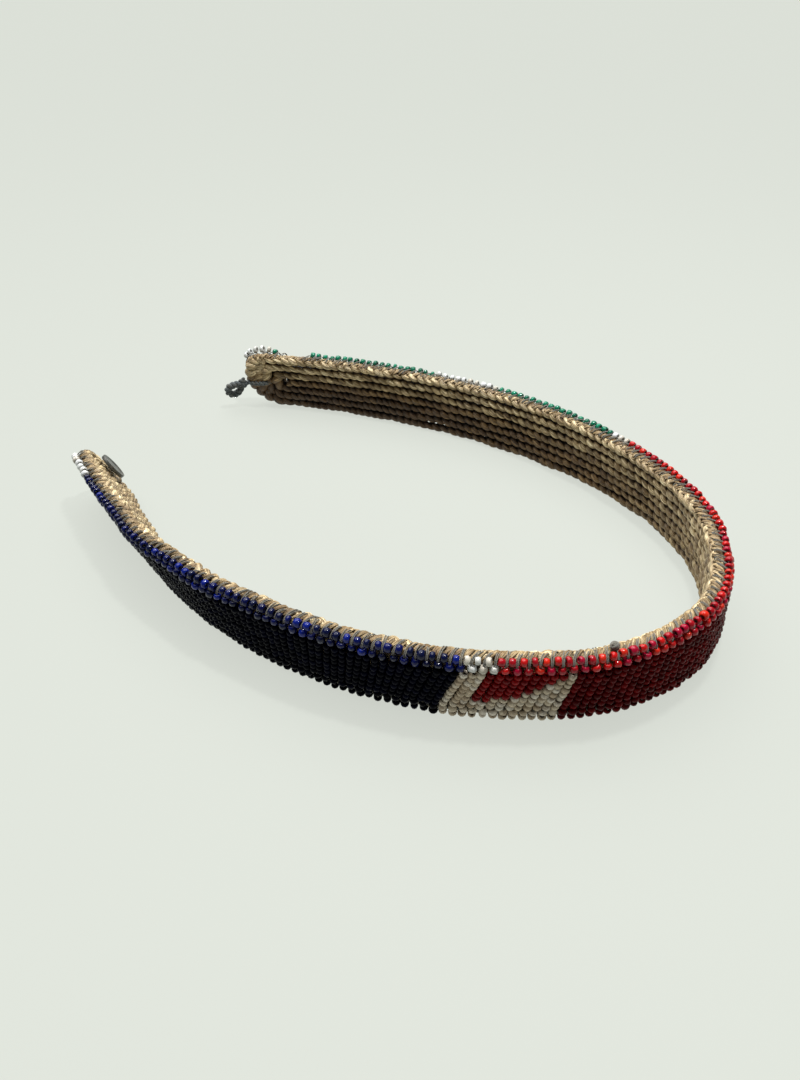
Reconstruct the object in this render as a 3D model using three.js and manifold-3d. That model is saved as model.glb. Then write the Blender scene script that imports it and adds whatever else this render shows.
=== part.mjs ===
// Beaded grass-rope headband: an open C of coiled rope, covered with glass beads outside,
// with a cord loop on one tip and a small button on the other. Millimetres, +Z up.
// The band stands on its lower edge. The origin is on the floor, in the middle of the whole piece.
import * as THREE from 'three';
import { mergeVertices } from 'three/addons/utils/BufferGeometryUtils.js';
import Module from 'manifold-3d';

// ---- driving dimensions ----
const BAND_LENGTH = 512;          // tip to tip, along the rope
const START_HEADING = -60.3;        // degrees, the way the band leaves the near tip
const BAND_ARCS = [               // the plan: share of the length, turn in degrees
  [60, 2.9], [50, 21.6], [50, 21.9], [40, 19.2], [35, 30.9], [27, 29.9], [28, 26.6],
  [35, 26.7], [40, 18.6], [35, 10.9], [30, 8.3], [40, 7.4], [42, 9.6],
];
const LEANS = [                   // how far the top leans outwards: share of the length, degrees
  [0, 31.9], [30, 29.3], [60, 24.8], [90, 15.4], [120, 9.7], [160, 8.4],
  [200, 5.8], [240, -0.1], [280, -6.6], [320, -9.0], [400, -1.8], [512, -10.9],
];
const COIL_TURNS = 3;             // full turns of rope wound round the middle run
const ROPE_HEIGHT = 3.15;         // one row of rope
const ROPE_THICKNESS = 4.2;
const CLEARANCE = 0.3;            // left between pieces that touch
const BEAD_DIAMETER = 2.1;        // a row of beads on the band's edge
const EDGE_ROW_OVERHANG = 0.4;    // the top row's centre above the rope
const EDGE_ROW_OUT = 2.9;         // the top row's centre, out from the rope's centre
const SECOND_ROW_DROP = 2.4;      // from one row of edging to the next
const LOWER_ROW_RISE = 2.0;       // the lowest row's centre above the rope's lower edge
const FIELD_THICKNESS = 2.0;      // the beaded field that covers the outer face
const FIELD_SAG = 0.1;            // extra room for its flat facets on the bends
const EDGE_ARC = 54;              // degrees that the upper rows run down round each tip
const LOWER_ARC = 56;             // degrees that the lower rows run up round each tip
const FLEX_KERF = 1.4;            // room between the halves for the band to bend
const TIP_PULL = 4;               // how far the far tip's end is drawn in, which makes it a blunt nose
const NOSE_PULL = 9;              // and the middle of its coil
const NOSE_PULL_AT = 12;          // from the far tip
const NOSE_REACH = 80;            // where the pull ends, from the far tip
const NEAR_PULL = 3.5;            // how far the near tip is drawn in
const NEAR_PULL_AT = 20;          // from the near tip
const NEAR_REACH = 90;
const STATION_STEP = 9;           // from one bend of a piece to the next
const FIELD_BANDS = 3;            // strips that the field is divided into, so that it bends smoothly
const CORD_DIAMETER = 2.2;
const LOOP_LENGTH = 9;
const LOOP_WIDTH = 7.5;
const LOOP_DROOP = 30;            // degrees
const LOOP_TURN_IN = 25;
const ANCHOR_LENGTH = 6;
const BUTTON_DIAMETER = 10;
const BUTTON_THICKNESS = 1.4;
const BUTTON_FROM_TIP = 10;
const BUTTON_BELOW_RIM = 6;
const SHANK_DIAMETER = 2;
const SHANK_LENGTH = 0.5;
const STITCH_WIDTH = 2.2;
const STITCH_THICKNESS = 0.5;
const STITCH_OUT = -0.2;
const KNOT_DIAMETER = 3;
const KNOT_AT = 211;              // along the band, like the other places below
const TUFT_AT = 476;
const TUFT_LENGTH = 5.5;
const TUFT_DIAMETER = 0.9;

// Beads along the top edge, from the near tip to the far tip.
const TOP_ZONES = [
  ['tip_white', 8], ['blue', 55], ['white_near', 3], ['red', 58], ['white_middle', 3],
  ['green_long', 19], ['white_far', 10], ['green_short', 20], ['gap', 5], ['green_last', 1],
  ['tip_white_far', 5],
];
const STRING_PITCH = 2.2;         // from one string of the field to the next
const MOTIF_STRINGS = 13;         // strings in each white pattern
const MOTIF_RED_START = 3;        // white strings before the red wedge begins
const MOTIF_RED_END = 12;
const WEDGE_DEPTH = 0.7;          // share of the field that the wedge's deep side takes
const MOTIF_TRAIL = 5.1;          // how far a slanted string's foot trails its head, at the pattern's start
const MOTIF_END_TRAIL = 2.8;      // and where the pattern ends

const COLOURS = {
  rope: 0xa98f63, thread: 0x78766a, white: 0xe9efee, blue: 0x10164e, red: 0xb01722,
  green: 0x158a60, cord: 0x46504f, button: 0x2f3532,
};

// ---- sizes worked out from them ----
const rowPitch = ROPE_HEIGHT + CLEARANCE;
const halfHeight = COIL_TURNS * rowPitch + ROPE_HEIGHT / 2;
const straightLength = BAND_LENGTH - 2 * halfHeight;
const middle = BAND_LENGTH / 2;
const lengthUnit = BAND_LENGTH / BAND_ARCS.reduce((sum, arc) => sum + arc[0], 0);
const fieldInner = ROPE_THICKNESS / 2 + CLEARANCE + FIELD_SAG;
const rowOut = fieldInner + BEAD_DIAMETER / 2 + 0.05;
const topRow = { radius: halfHeight + EDGE_ROW_OVERHANG, out: EDGE_ROW_OUT, side: 1 };
const secondRow = { radius: topRow.radius - SECOND_ROW_DROP, out: rowOut, side: 1 };
const lowerPairs = { radius: halfHeight - LOWER_ROW_RISE - SECOND_ROW_DROP / 2, out: rowOut, side: -1 };
const fieldTop = secondRow.radius - BEAD_DIAMETER / 2 - CLEARANCE;
const fieldBottom = lowerPairs.radius - (BEAD_DIAMETER + SECOND_ROW_DROP) / 2 - CLEARANCE;
const edgeArcLength = THREE.MathUtils.degToRad(EDGE_ARC) * topRow.radius;
const beadCount = TOP_ZONES.reduce((sum, zone) => sum + zone[1], 0);
const beadPitch = (straightLength + 1.8 * edgeArcLength) / beadCount;
const motifWidth = MOTIF_STRINGS * STRING_PITCH;

const wasm = await Module();
wasm.setup();

// ---- the band's own coordinates ----
// along: from the near tip; out: away from the head, from the rope's centre; up: from the floor.

function planAt(along) {
  let x = 0;
  let y = 0;
  let heading = THREE.MathUtils.degToRad(START_HEADING);
  let left = along;
  for (const [i, [share, turn]] of BAND_ARCS.entries()) {
    const length = share * lengthUnit;
    const curvature = THREE.MathUtils.degToRad(turn) / length;
    const last = i === BAND_ARCS.length - 1;
    const run = last ? left : Math.min(left, length);
    const next = heading + curvature * run;
    x += (Math.sin(next) - Math.sin(heading)) / curvature;
    y -= (Math.cos(next) - Math.cos(heading)) / curvature;
    heading = next;
    left -= run;
    if (left === 0) break;
  }
  return { x, y, heading };
}

function leanAt(along) {
  const share = THREE.MathUtils.clamp(along / lengthUnit, 0, LEANS.at(-1)[0]);
  const i = Math.max(1, LEANS.findIndex(([at]) => at >= share));
  const [from, lean] = LEANS[i - 1];
  const [to, nextLean] = LEANS[i];
  const blend = THREE.MathUtils.smoothstep(share, from, to);
  return THREE.MathUtils.degToRad(lean + (nextLean - lean) * blend);
}

// How far the band is raised, so that its lowest edge stays on the floor where it leans.
function liftAt(lean) {
  const ropeDrop = Math.abs(Math.sin(lean)) * ROPE_THICKNESS / 2;
  const beadBottom = LOWER_ROW_RISE - BEAD_DIAMETER / 2;
  const beadDrop = Math.sin(lean) * (rowOut + BEAD_DIAMETER / 2) - Math.cos(lean) * beadBottom;
  return Math.max(ropeDrop, beadDrop);
}

// How far a place near a tip is drawn in along the band. At the far tip the top rows stay put.
function pullAt(along, up) {
  const fromTip = BAND_LENGTH - along;
  if (along < NEAR_REACH) {
    return -NEAR_PULL * (1 - THREE.MathUtils.smoothstep(along, NEAR_PULL_AT, NEAR_REACH));
  }
  const low = 1 - THREE.MathUtils.smoothstep(up - halfHeight, 0, topRow.radius);
  if (fromTip > NOSE_PULL_AT) {
    return low * NOSE_PULL * (1 - THREE.MathUtils.smoothstep(fromTip, NOSE_PULL_AT, NOSE_REACH));
  }
  const share = THREE.MathUtils.smoothstep(fromTip, -NOSE_PULL_AT, NOSE_PULL_AT) * 2 - 1;
  return low * THREE.MathUtils.lerp(TIP_PULL, NOSE_PULL, Math.max(0, share));
}

function bandPoint(place, out, up) {
  const along = place - pullAt(place, up);
  const { x, y, heading } = planAt(along);
  const lean = leanAt(along);
  const sideways = out * Math.cos(lean) + up * Math.sin(lean);
  return new THREE.Vector3(
    x + Math.sin(heading) * sideways,
    y - Math.cos(heading) * sideways,
    up * Math.cos(lean) - out * Math.sin(lean) + liftAt(lean),
  );
}

// ---- paths on the face of the band, as [along, height from the centre line, direction] ----

function levelPath(from, to, height = 0) {
  const inner = [];
  for (let at = Math.ceil((from + 1) / STATION_STEP) * STATION_STEP; at < to - 1; at += STATION_STEP) {
    inner.push(at);
  }
  return [from, ...inner, to].map((along) => ({ along, height, direction: 0 }));
}

// A U-turn of rope round a tip: in along the top, round the end and back along the bottom.
function hairpinPath(radius, nearTip) {
  const facing = nearTip ? -1 : 1;
  const tipCentre = nearTip ? halfHeight : BAND_LENGTH - halfHeight;
  const open = middle + facing * FLEX_KERF / 2;
  const straight = levelPath(Math.min(open, tipCentre), Math.max(open, tipCentre));
  const alongs = straight.map((station) => station.along);
  if (nearTip) alongs.reverse();
  const arcSteps = radius > rowPitch * 1.5 ? 8 : 6;
  const path = alongs.slice(0, -1).map((along) => ({ along, height: radius, direction: nearTip ? Math.PI : 0 }));
  for (let i = 0; i <= arcSteps; i++) {
    const angle = Math.PI * i / arcSteps;
    path.push({
      along: tipCentre + facing * radius * Math.sin(angle),
      height: radius * Math.cos(angle),
      direction: nearTip ? Math.PI + angle : -angle,
    });
  }
  for (const along of alongs.slice(0, -1).reverse()) {
    path.push({ along, height: -radius, direction: nearTip ? 2 * Math.PI : -Math.PI });
  }
  return path;
}

// A stretch of an edging row. from and to run along the row: 0 is where the near tip's curve ends.
function railPath(row, from, to) {
  const { radius, side } = row;
  const marks = [from];
  const arcStep = THREE.MathUtils.degToRad(18) * radius;
  for (let at = Math.ceil(from / arcStep) * arcStep; at < Math.min(to, 0) - 0.5; at += arcStep) {
    if (at > from + 0.5) marks.push(at);
  }
  const first = Math.max(from, 0) + halfHeight;
  const last = Math.min(to, straightLength) + halfHeight;
  if (from < -0.5 && to > 0) marks.push(0);
  marks.push(...levelPath(first, last).slice(1, -1).map((station) => station.along - halfHeight));
  if (to > straightLength + 0.5 && from < straightLength) marks.push(straightLength);
  for (let at = Math.max(from, straightLength) + arcStep; at < to - 0.5; at += arcStep) marks.push(at);
  marks.push(to);
  return marks.map((mark) => railStation(mark, radius, side));
}

function railStation(mark, radius, side) {
  const past = mark < 0 ? mark : Math.max(0, mark - straightLength);
  const angle = past / radius;
  const along = halfHeight + THREE.MathUtils.clamp(mark, 0, straightLength) + radius * Math.sin(angle);
  return { along, height: side * radius * Math.cos(angle), direction: -side * angle };
}

// ---- solids ----

function ovalSection(width, height, sides = 8) {
  const points = [];
  for (let i = 0; i < sides; i++) {
    const angle = (i + 0.5) * 2 * Math.PI / sides;
    points.push(new THREE.Vector2(Math.cos(angle), Math.sin(angle)));
  }
  const reach = new THREE.Box2().setFromPoints(points).max;
  const scale = new THREE.Vector2(width / 2 / reach.x, height / 2 / reach.y);
  return new THREE.Shape(points.map((point) => point.multiply(scale)));
}

function straightExtrusion(section, steps) {
  const geometry = new THREE.ExtrudeGeometry(section, { depth: steps, steps, bevelEnabled: false });
  geometry.deleteAttribute('normal');
  geometry.deleteAttribute('uv');
  return geometry;
}

// Bends a straight extrusion onto the band: each step of it goes to one station of the path.
function sweepOnBand(section, path, outOffset = 0) {
  const geometry = straightExtrusion(section, path.length - 1);
  const position = geometry.attributes.position;
  for (let i = 0; i < position.count; i++) {
    const station = path[Math.round(position.getZ(i))];
    const across = position.getY(i);
    const point = bandPoint(
      station.along - across * Math.sin(station.direction),
      outOffset + position.getX(i),
      halfHeight + station.height + across * Math.cos(station.direction),
    );
    position.setXYZ(i, point.x, point.y, point.z);
  }
  return closed(geometry);
}

// Merges shared corners, and turns the surface outwards when the bending has mirrored it.
function closed(geometry) {
  const merged = mergeVertices(geometry, 1e-4);
  if (signedVolume(merged) < 0) {
    const index = merged.index;
    for (let i = 0; i < index.count; i += 3) {
      const second = index.getX(i + 1);
      index.setX(i + 1, index.getX(i + 2));
      index.setX(i + 2, second);
    }
  }
  merged.computeVertexNormals();
  return merged;
}

function signedVolume(geometry) {
  const [a, b, c] = [new THREE.Vector3(), new THREE.Vector3(), new THREE.Vector3()];
  const { index } = geometry;
  const { position } = geometry.attributes;
  let sum = 0;
  for (let i = 0; i < index.count; i += 3) {
    a.fromBufferAttribute(position, index.getX(i));
    b.fromBufferAttribute(position, index.getX(i + 1));
    c.fromBufferAttribute(position, index.getX(i + 2));
    sum += a.dot(b.cross(c)) / 6;
  }
  return sum;
}

// One colour of the beaded field. top and bottom give its edges along the band; a slanted string's
// foot trails its head, by slantFrom at one end of the piece and slantTo at the other.
function fieldPiece({ from, to, slantFrom = 0, slantTo = 0, top, bottom, marks = [] }) {
  const stations = levelPath(from, to).map((station) => station.along);
  const path = [...new Set([...stations, ...marks])].sort((a, b) => a - b);
  const geometry = straightExtrusion(fieldSection(), path.length - 1);
  const position = geometry.attributes.position;
  for (let i = 0; i < position.count; i++) {
    const along = path[Math.round(position.getZ(i))];
    const slant = THREE.MathUtils.mapLinear(along, from, to, slantFrom, slantTo);
    const upper = Math.min(top ? top(along) : fieldTop, roundedRoom(along, fieldTop));
    const lower = Math.max(bottom ? bottom(along) : -fieldBottom, -roundedRoom(along - slant, fieldBottom));
    const height = THREE.MathUtils.lerp(lower, upper, position.getY(i));
    const trail = slant * (fieldTop - height) / (fieldTop + fieldBottom);
    const point = bandPoint(along - trail, fieldInner + position.getX(i), halfHeight + height);
    position.setXYZ(i, point.x, point.y, point.z);
  }
  return closed(geometry);
}

// A flat strip one unit high, with corners all the way up both faces.
function fieldSection() {
  const inner = [];
  const outer = [];
  for (let i = 0; i <= FIELD_BANDS; i++) {
    inner.unshift(new THREE.Vector2(0, i / FIELD_BANDS));
    outer.push(new THREE.Vector2(FIELD_THICKNESS, i / FIELD_BANDS));
  }
  return new THREE.Shape([...outer, ...inner]);
}

// Half the field's height, which shrinks round the tips.
function roundedRoom(along, radius) {
  const fromTip = Math.min(along, BAND_LENGTH - along);
  const past = Math.max(0, halfHeight - fromTip);
  return Math.sqrt(Math.max(1, radius * radius - past * past));
}

// A solid built round its own origin, turned to the band's axes at one place on it.
function placeOnBand(geometry, along, out, up) {
  const { heading } = planAt(along);
  const lean = leanAt(along);
  const tangent = new THREE.Vector3(Math.cos(heading), Math.sin(heading), 0);
  const normal = new THREE.Vector3(Math.sin(heading), -Math.cos(heading), 0);
  const outward = normal.clone().multiplyScalar(Math.cos(lean)).setZ(-Math.sin(lean));
  const upward = normal.clone().multiplyScalar(Math.sin(lean)).setZ(Math.cos(lean));
  const matrix = new THREE.Matrix4().makeBasis(tangent, outward, upward);
  matrix.setPosition(bandPoint(along, out, up));
  geometry.deleteAttribute('normal');
  geometry.deleteAttribute('uv');
  geometry.applyMatrix4(matrix);
  return closed(geometry);
}

function toManifold(geometry) {
  const bare = geometry.clone();
  bare.deleteAttribute('normal');
  bare.deleteAttribute('uv');
  const merged = mergeVertices(bare, 1e-4);
  return new wasm.Manifold(new wasm.Mesh({
    numProp: 3,
    vertProperties: new Float32Array(merged.attributes.position.array),
    triVerts: new Uint32Array(merged.index.array),
  }));
}

function fromManifold(solid) {
  const mesh = solid.getMesh();
  const geometry = new THREE.BufferGeometry();
  geometry.setAttribute('position', new THREE.BufferAttribute(new Float32Array(mesh.vertProperties), 3));
  geometry.setIndex(new THREE.BufferAttribute(new Uint32Array(mesh.triVerts), 1));
  return geometry;
}

// ---- the pieces ----

const headband = new THREE.Group();

function addPiece(name, geometry, colour, roughness = 0.8) {
  const material = new THREE.MeshStandardMaterial({ color: COLOURS[colour], roughness, metalness: 0 });
  const mesh = new THREE.Mesh(geometry, material);
  mesh.name = name;
  headband.add(mesh);
}

function addRope() {
  const section = ovalSection(ROPE_THICKNESS, ROPE_HEIGHT);
  const runEnd = halfHeight + CLEARANCE;
  const nearRun = levelPath(runEnd, middle - FLEX_KERF / 2);
  const farRun = levelPath(middle + FLEX_KERF / 2, BAND_LENGTH - runEnd);
  addPiece('near_rope_run', sweepOnBand(section, nearRun), 'rope', 0.9);
  addPiece('far_rope_run', sweepOnBand(section, farRun), 'rope', 0.9);
  for (let turn = 1; turn <= COIL_TURNS; turn++) {
    addPiece(`near_rope_turn_${turn}`, sweepOnBand(section, hairpinPath(turn * rowPitch, true)), 'rope', 0.9);
    addPiece(`far_rope_turn_${turn}`, sweepOnBand(section, hairpinPath(turn * rowPitch, false)), 'rope', 0.9);
  }
}

// Where each colour starts and ends along the top row, with the middle of the band cut open.
function topZones() {
  const zones = [];
  let at = -0.9 * edgeArcLength;
  for (const [name, count] of TOP_ZONES) {
    const end = at + count * beadPitch;
    if (name === 'red') {
      const cut = middle - halfHeight;
      zones.push({ name: 'red_near', from: at, to: cut - FLEX_KERF / 2 });
      zones.push({ name: 'red_far', from: cut + FLEX_KERF / 2, to: end });
    } else {
      zones.push({ name, from: at, to: end });
    }
    at = end;
  }
  return zones;
}

function zoneColour(name) {
  if (name.includes('white')) return 'white';
  return name.split('_')[0];
}

// Shortens a zone by half the clearance at each end that meets another zone.
function trimmed(zone, radius) {
  const scale = radius / topRow.radius;
  const bend = (at) => {
    if (at < 0) return at * scale;
    return at > straightLength ? straightLength + (at - straightLength) * scale : at;
  };
  const cut = CLEARANCE / 2;
  return [bend(zone.from) + cut, bend(zone.to) - cut];
}

function addUpperRows(zones) {
  const bead = ovalSection(BEAD_DIAMETER, BEAD_DIAMETER, 6);
  for (const zone of zones) {
    if (zone.name === 'gap') continue;
    const colour = zoneColour(zone.name);
    const [topFrom, topTo] = trimmed(zone, topRow.radius);
    addPiece(`top_row_${zone.name}`, sweepOnBand(bead, railPath(topRow, topFrom, topTo), topRow.out), colour, 0.25);
    if (zone.name === 'green_last') continue;
    const [from, to] = trimmed(zone, secondRow.radius);
    const path = railPath(secondRow, from, to);
    addPiece(`second_row_${zone.name}`, sweepOnBand(bead, path, secondRow.out), colour, 0.25);
  }
}

// The lower edging is made of pairs of beads, one above the other: a strip for each colour.
function addLowerPairs(zone) {
  const arc = THREE.MathUtils.degToRad(LOWER_ARC) * topRow.radius;
  const motifFoot = zone.white_near.from + motifWidth - MOTIF_END_TRAIL;
  const darkFoot = zone.blue.to - MOTIF_TRAIL;
  const farMotifFrom = zone.green_long.from - motifWidth;
  const strips = [
    ['tip_white', -arc, zone.tip_white.to],
    ['blue', zone.tip_white.to, darkFoot],
    ['white_near', darkFoot, motifFoot],
    ['red_near', motifFoot, zone.red_near.to],
    ['red_far', zone.red_far.from, farMotifFrom],
    ['white_middle', farMotifFrom, zone.green_long.from],
    ['green_long', zone.green_long.from, zone.white_far.from],
    ['white_far', zone.white_far.from, zone.white_far.to],
    ['green_short', zone.white_far.to, straightLength + arc],
  ];
  const pair = ovalSection(BEAD_DIAMETER, BEAD_DIAMETER + SECOND_ROW_DROP, 6);
  for (const [name, from, to] of strips) {
    const [start, end] = trimmed({ from, to }, lowerPairs.radius);
    const path = railPath(lowerPairs, start, end);
    addPiece(`lower_pairs_${name}`, sweepOnBand(pair, path, lowerPairs.out), zoneColour(name), 0.25);
  }
}

// The outer face: plain fields of slanted strings, and the white pattern with its red wedge.
function addFields(zone) {
  const at = (mark) => mark + halfHeight;
  const cut = CLEARANCE / 2;
  const tip = halfHeight - fieldTop + 1;
  const motifFrom = at(zone.white_near.from);
  const wedgeFrom = motifFrom + MOTIF_RED_START * STRING_PITCH;
  const wedgeTo = motifFrom + MOTIF_RED_END * STRING_PITCH;
  const motifTo = motifFrom + motifWidth;
  const slantAt = (along) => THREE.MathUtils.mapLinear(along, motifFrom, motifTo, MOTIF_TRAIL, MOTIF_END_TRAIL);
  const farMotifFrom = at(zone.green_long.from) - motifWidth;
  const wedgeFoot = fieldTop - (fieldTop + fieldBottom) * WEDGE_DEPTH;
  const wedgeEdge = (along) => THREE.MathUtils.mapLinear(along, wedgeFrom, wedgeTo, wedgeFoot, fieldTop - 2);
  const patternTop = (along) => {
    const inWedge = along > wedgeFrom + cut && along < wedgeTo - cut;
    return inWedge ? wedgeEdge(along) - CLEARANCE : fieldTop;
  };
  const pieces = [
    ['tip_white', { from: tip, to: at(zone.tip_white.to) - cut }],
    ['blue', { from: at(zone.blue.from) + cut, to: at(zone.blue.to) - cut, slantTo: MOTIF_TRAIL }],
    ['white_near', {
      from: motifFrom + cut,
      to: motifTo - cut,
      slantFrom: MOTIF_TRAIL,
      slantTo: MOTIF_END_TRAIL,
      top: patternTop,
      marks: [wedgeFrom - CLEARANCE, wedgeFrom + CLEARANCE, wedgeTo - CLEARANCE, wedgeTo + CLEARANCE],
    }],
    ['red_wedge', {
      from: wedgeFrom + CLEARANCE,
      to: wedgeTo - CLEARANCE,
      slantFrom: slantAt(wedgeFrom),
      slantTo: slantAt(wedgeTo),
      bottom: wedgeEdge,
    }],
    ['red_near', { from: motifTo + cut, to: at(zone.red_near.to), slantFrom: MOTIF_END_TRAIL }],
    ['red_far', { from: at(zone.red_far.from), to: farMotifFrom - cut }],
    ['white_middle', { from: farMotifFrom + cut, to: at(zone.green_long.from) - cut }],
    ['green_long', { from: at(zone.green_long.from) + cut, to: at(zone.green_long.to) - cut }],
    ['white_far', { from: at(zone.white_far.from) + cut, to: at(zone.white_far.to) - cut }],
    ['green_short', { from: at(zone.green_short.from) + cut, to: at(zone.green_last.to) - cut }],
    ['tip_white_far', { from: at(zone.green_last.to) + cut, to: BAND_LENGTH - tip }],
  ];
  for (const [name, shape] of pieces) {
    addPiece(`field_${name}`, fieldPiece(shape), zoneColour(name), 0.25);
  }
}

// The sewing thread that wraps the rim, as one flat strip on each half.
function addStitching() {
  const section = new THREE.Shape([
    new THREE.Vector2(-STITCH_WIDTH / 2, 0), new THREE.Vector2(STITCH_WIDTH / 2, 0),
    new THREE.Vector2(STITCH_WIDTH / 2, STITCH_THICKNESS), new THREE.Vector2(-STITCH_WIDTH / 2, STITCH_THICKNESS),
  ]);
  const rim = { radius: halfHeight + CLEARANCE, side: 1 };
  const middleMark = middle - halfHeight;
  const end = 0.8 * edgeArcLength;
  const nearPath = railPath(rim, -end, middleMark - FLEX_KERF / 2);
  const farPath = railPath(rim, middleMark + FLEX_KERF / 2, straightLength + end);
  addPiece('near_rim_stitching', sweepOnBand(section, nearPath, STITCH_OUT), 'thread', 0.95);
  addPiece('far_rim_stitching', sweepOnBand(section, farPath, STITCH_OUT), 'thread', 0.95);
}

// A knot where a thread was tied off, and a loose end of thread.
function addThreadEnds() {
  const knot = new THREE.SphereGeometry(KNOT_DIAMETER / 2, 10, 6);
  const rimTop = 2 * halfHeight + CLEARANCE + STITCH_THICKNESS;
  const knotUp = rimTop + CLEARANCE + KNOT_DIAMETER / 2;
  addPiece('thread_knot', placeOnBand(knot, KNOT_AT * lengthUnit, STITCH_OUT, knotUp), 'thread', 0.95);
  const tuft = new THREE.CapsuleGeometry(TUFT_DIAMETER / 2, TUFT_LENGTH, 2, 6);
  tuft.rotateZ(Math.PI / 2);
  const tuftUp = rimTop + CLEARANCE + TUFT_DIAMETER / 2;
  addPiece('thread_tuft', placeOnBand(tuft, TUFT_AT * lengthUnit, STITCH_OUT, tuftUp), 'thread', 0.95);
}

// The loop of doubled cord beyond the far tip. Its ball end turns in front of the anchor stitch.
function addLoop() {
  const out = -(ROPE_THICKNESS / 2 + CLEARANCE + CORD_DIAMETER / 2);
  const anchor = new THREE.CapsuleGeometry(CORD_DIAMETER / 2, ANCHOR_LENGTH - CORD_DIAMETER, 3, 8);
  anchor.rotateZ(Math.PI / 2);
  addPiece('loop_anchor', placeOnBand(anchor, BAND_LENGTH - ANCHOR_LENGTH / 2, out, halfHeight), 'cord', 0.9);
  const ball = new THREE.SphereGeometry(CORD_DIAMETER / 2, 10, 8);
  const ringRadius = (LOOP_WIDTH - CORD_DIAMETER) / 2;
  const neckLength = LOOP_LENGTH - LOOP_WIDTH + CORD_DIAMETER / 2;
  const neck = new THREE.CylinderGeometry(CORD_DIAMETER / 2, CORD_DIAMETER / 2, neckLength, 10);
  neck.rotateZ(Math.PI / 2);
  neck.translate(neckLength / 2, 0, 0);
  const ring = new THREE.TorusGeometry(ringRadius, CORD_DIAMETER / 2, 10, 20);
  ring.rotateX(Math.PI / 2);
  ring.translate(LOOP_LENGTH - ringRadius - CORD_DIAMETER / 2, 0, 0);
  const loop = fromManifold(toManifold(ball).add(toManifold(neck)).add(toManifold(ring)));
  loop.rotateY(THREE.MathUtils.degToRad(LOOP_DROOP));
  loop.rotateZ(THREE.MathUtils.degToRad(-LOOP_TURN_IN));
  const ballAt = BAND_LENGTH + CLEARANCE + CORD_DIAMETER / 2;
  addPiece('closure_loop', placeOnBand(loop, ballAt, out, halfHeight), 'cord', 0.9);
}

// The button inside the near tip, held off the rope by its shank of thread.
function addButton() {
  const up = 2 * halfHeight - BUTTON_BELOW_RIM - BUTTON_DIAMETER / 2;
  const shank = new THREE.CylinderGeometry(SHANK_DIAMETER / 2, SHANK_DIAMETER / 2, SHANK_LENGTH, 12);
  const shankOut = -(ROPE_THICKNESS / 2 + CLEARANCE + SHANK_LENGTH / 2);
  addPiece('button_shank', placeOnBand(shank, BUTTON_FROM_TIP, shankOut, up), 'thread', 0.95);
  const half = BUTTON_THICKNESS / 2;
  const radius = BUTTON_DIAMETER / 2;
  const profile = [
    new THREE.Vector2(0, -half), new THREE.Vector2(radius - 0.5, -half), new THREE.Vector2(radius, -half + 0.5),
    new THREE.Vector2(radius, half - 0.5), new THREE.Vector2(radius - 0.5, half), new THREE.Vector2(0, half),
  ];
  const button = new THREE.LatheGeometry(profile, 20);
  const buttonOut = shankOut - SHANK_LENGTH / 2 - CLEARANCE - half;
  addPiece('button', placeOnBand(button, BUTTON_FROM_TIP, buttonOut, up), 'button', 0.4);
}

// Puts the origin on the floor, in the middle of the whole headband.
function moveToFloor() {
  const box = new THREE.Box3().setFromObject(headband);
  const middlePoint = box.getCenter(new THREE.Vector3());
  for (const mesh of headband.children) {
    mesh.geometry.translate(-middlePoint.x, -middlePoint.y, -box.min.z);
  }
}

const zones = topZones();
const zoneByName = Object.fromEntries(zones.map((zone) => [zone.name, zone]));
addRope();
addUpperRows(zones);
addLowerPairs(zoneByName);
addFields(zoneByName);
addStitching();
addThreadEnds();
addLoop();
addButton();
moveToFloor();

export default headband;
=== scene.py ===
import math

import bpy
import numpy as np
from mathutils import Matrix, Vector


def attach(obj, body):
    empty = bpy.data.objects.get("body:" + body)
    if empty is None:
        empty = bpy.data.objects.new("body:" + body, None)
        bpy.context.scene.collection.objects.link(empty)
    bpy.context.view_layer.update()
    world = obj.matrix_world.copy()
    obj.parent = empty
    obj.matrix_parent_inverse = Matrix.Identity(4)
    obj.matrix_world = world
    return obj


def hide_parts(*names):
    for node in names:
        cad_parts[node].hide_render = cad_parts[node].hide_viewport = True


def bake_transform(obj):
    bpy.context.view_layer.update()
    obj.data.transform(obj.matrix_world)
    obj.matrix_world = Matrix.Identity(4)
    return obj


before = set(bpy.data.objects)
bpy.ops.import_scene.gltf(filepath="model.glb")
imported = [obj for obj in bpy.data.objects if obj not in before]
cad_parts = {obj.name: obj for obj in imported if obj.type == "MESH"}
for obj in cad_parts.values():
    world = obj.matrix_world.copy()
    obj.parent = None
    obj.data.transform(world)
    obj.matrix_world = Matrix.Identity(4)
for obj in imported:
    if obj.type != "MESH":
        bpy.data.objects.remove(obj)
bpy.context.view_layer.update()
rng = np.random.default_rng(12)
print("frame loaded")

# everything below is in metres; mm turns the part's own sizes into them
mm = 0.001

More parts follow.
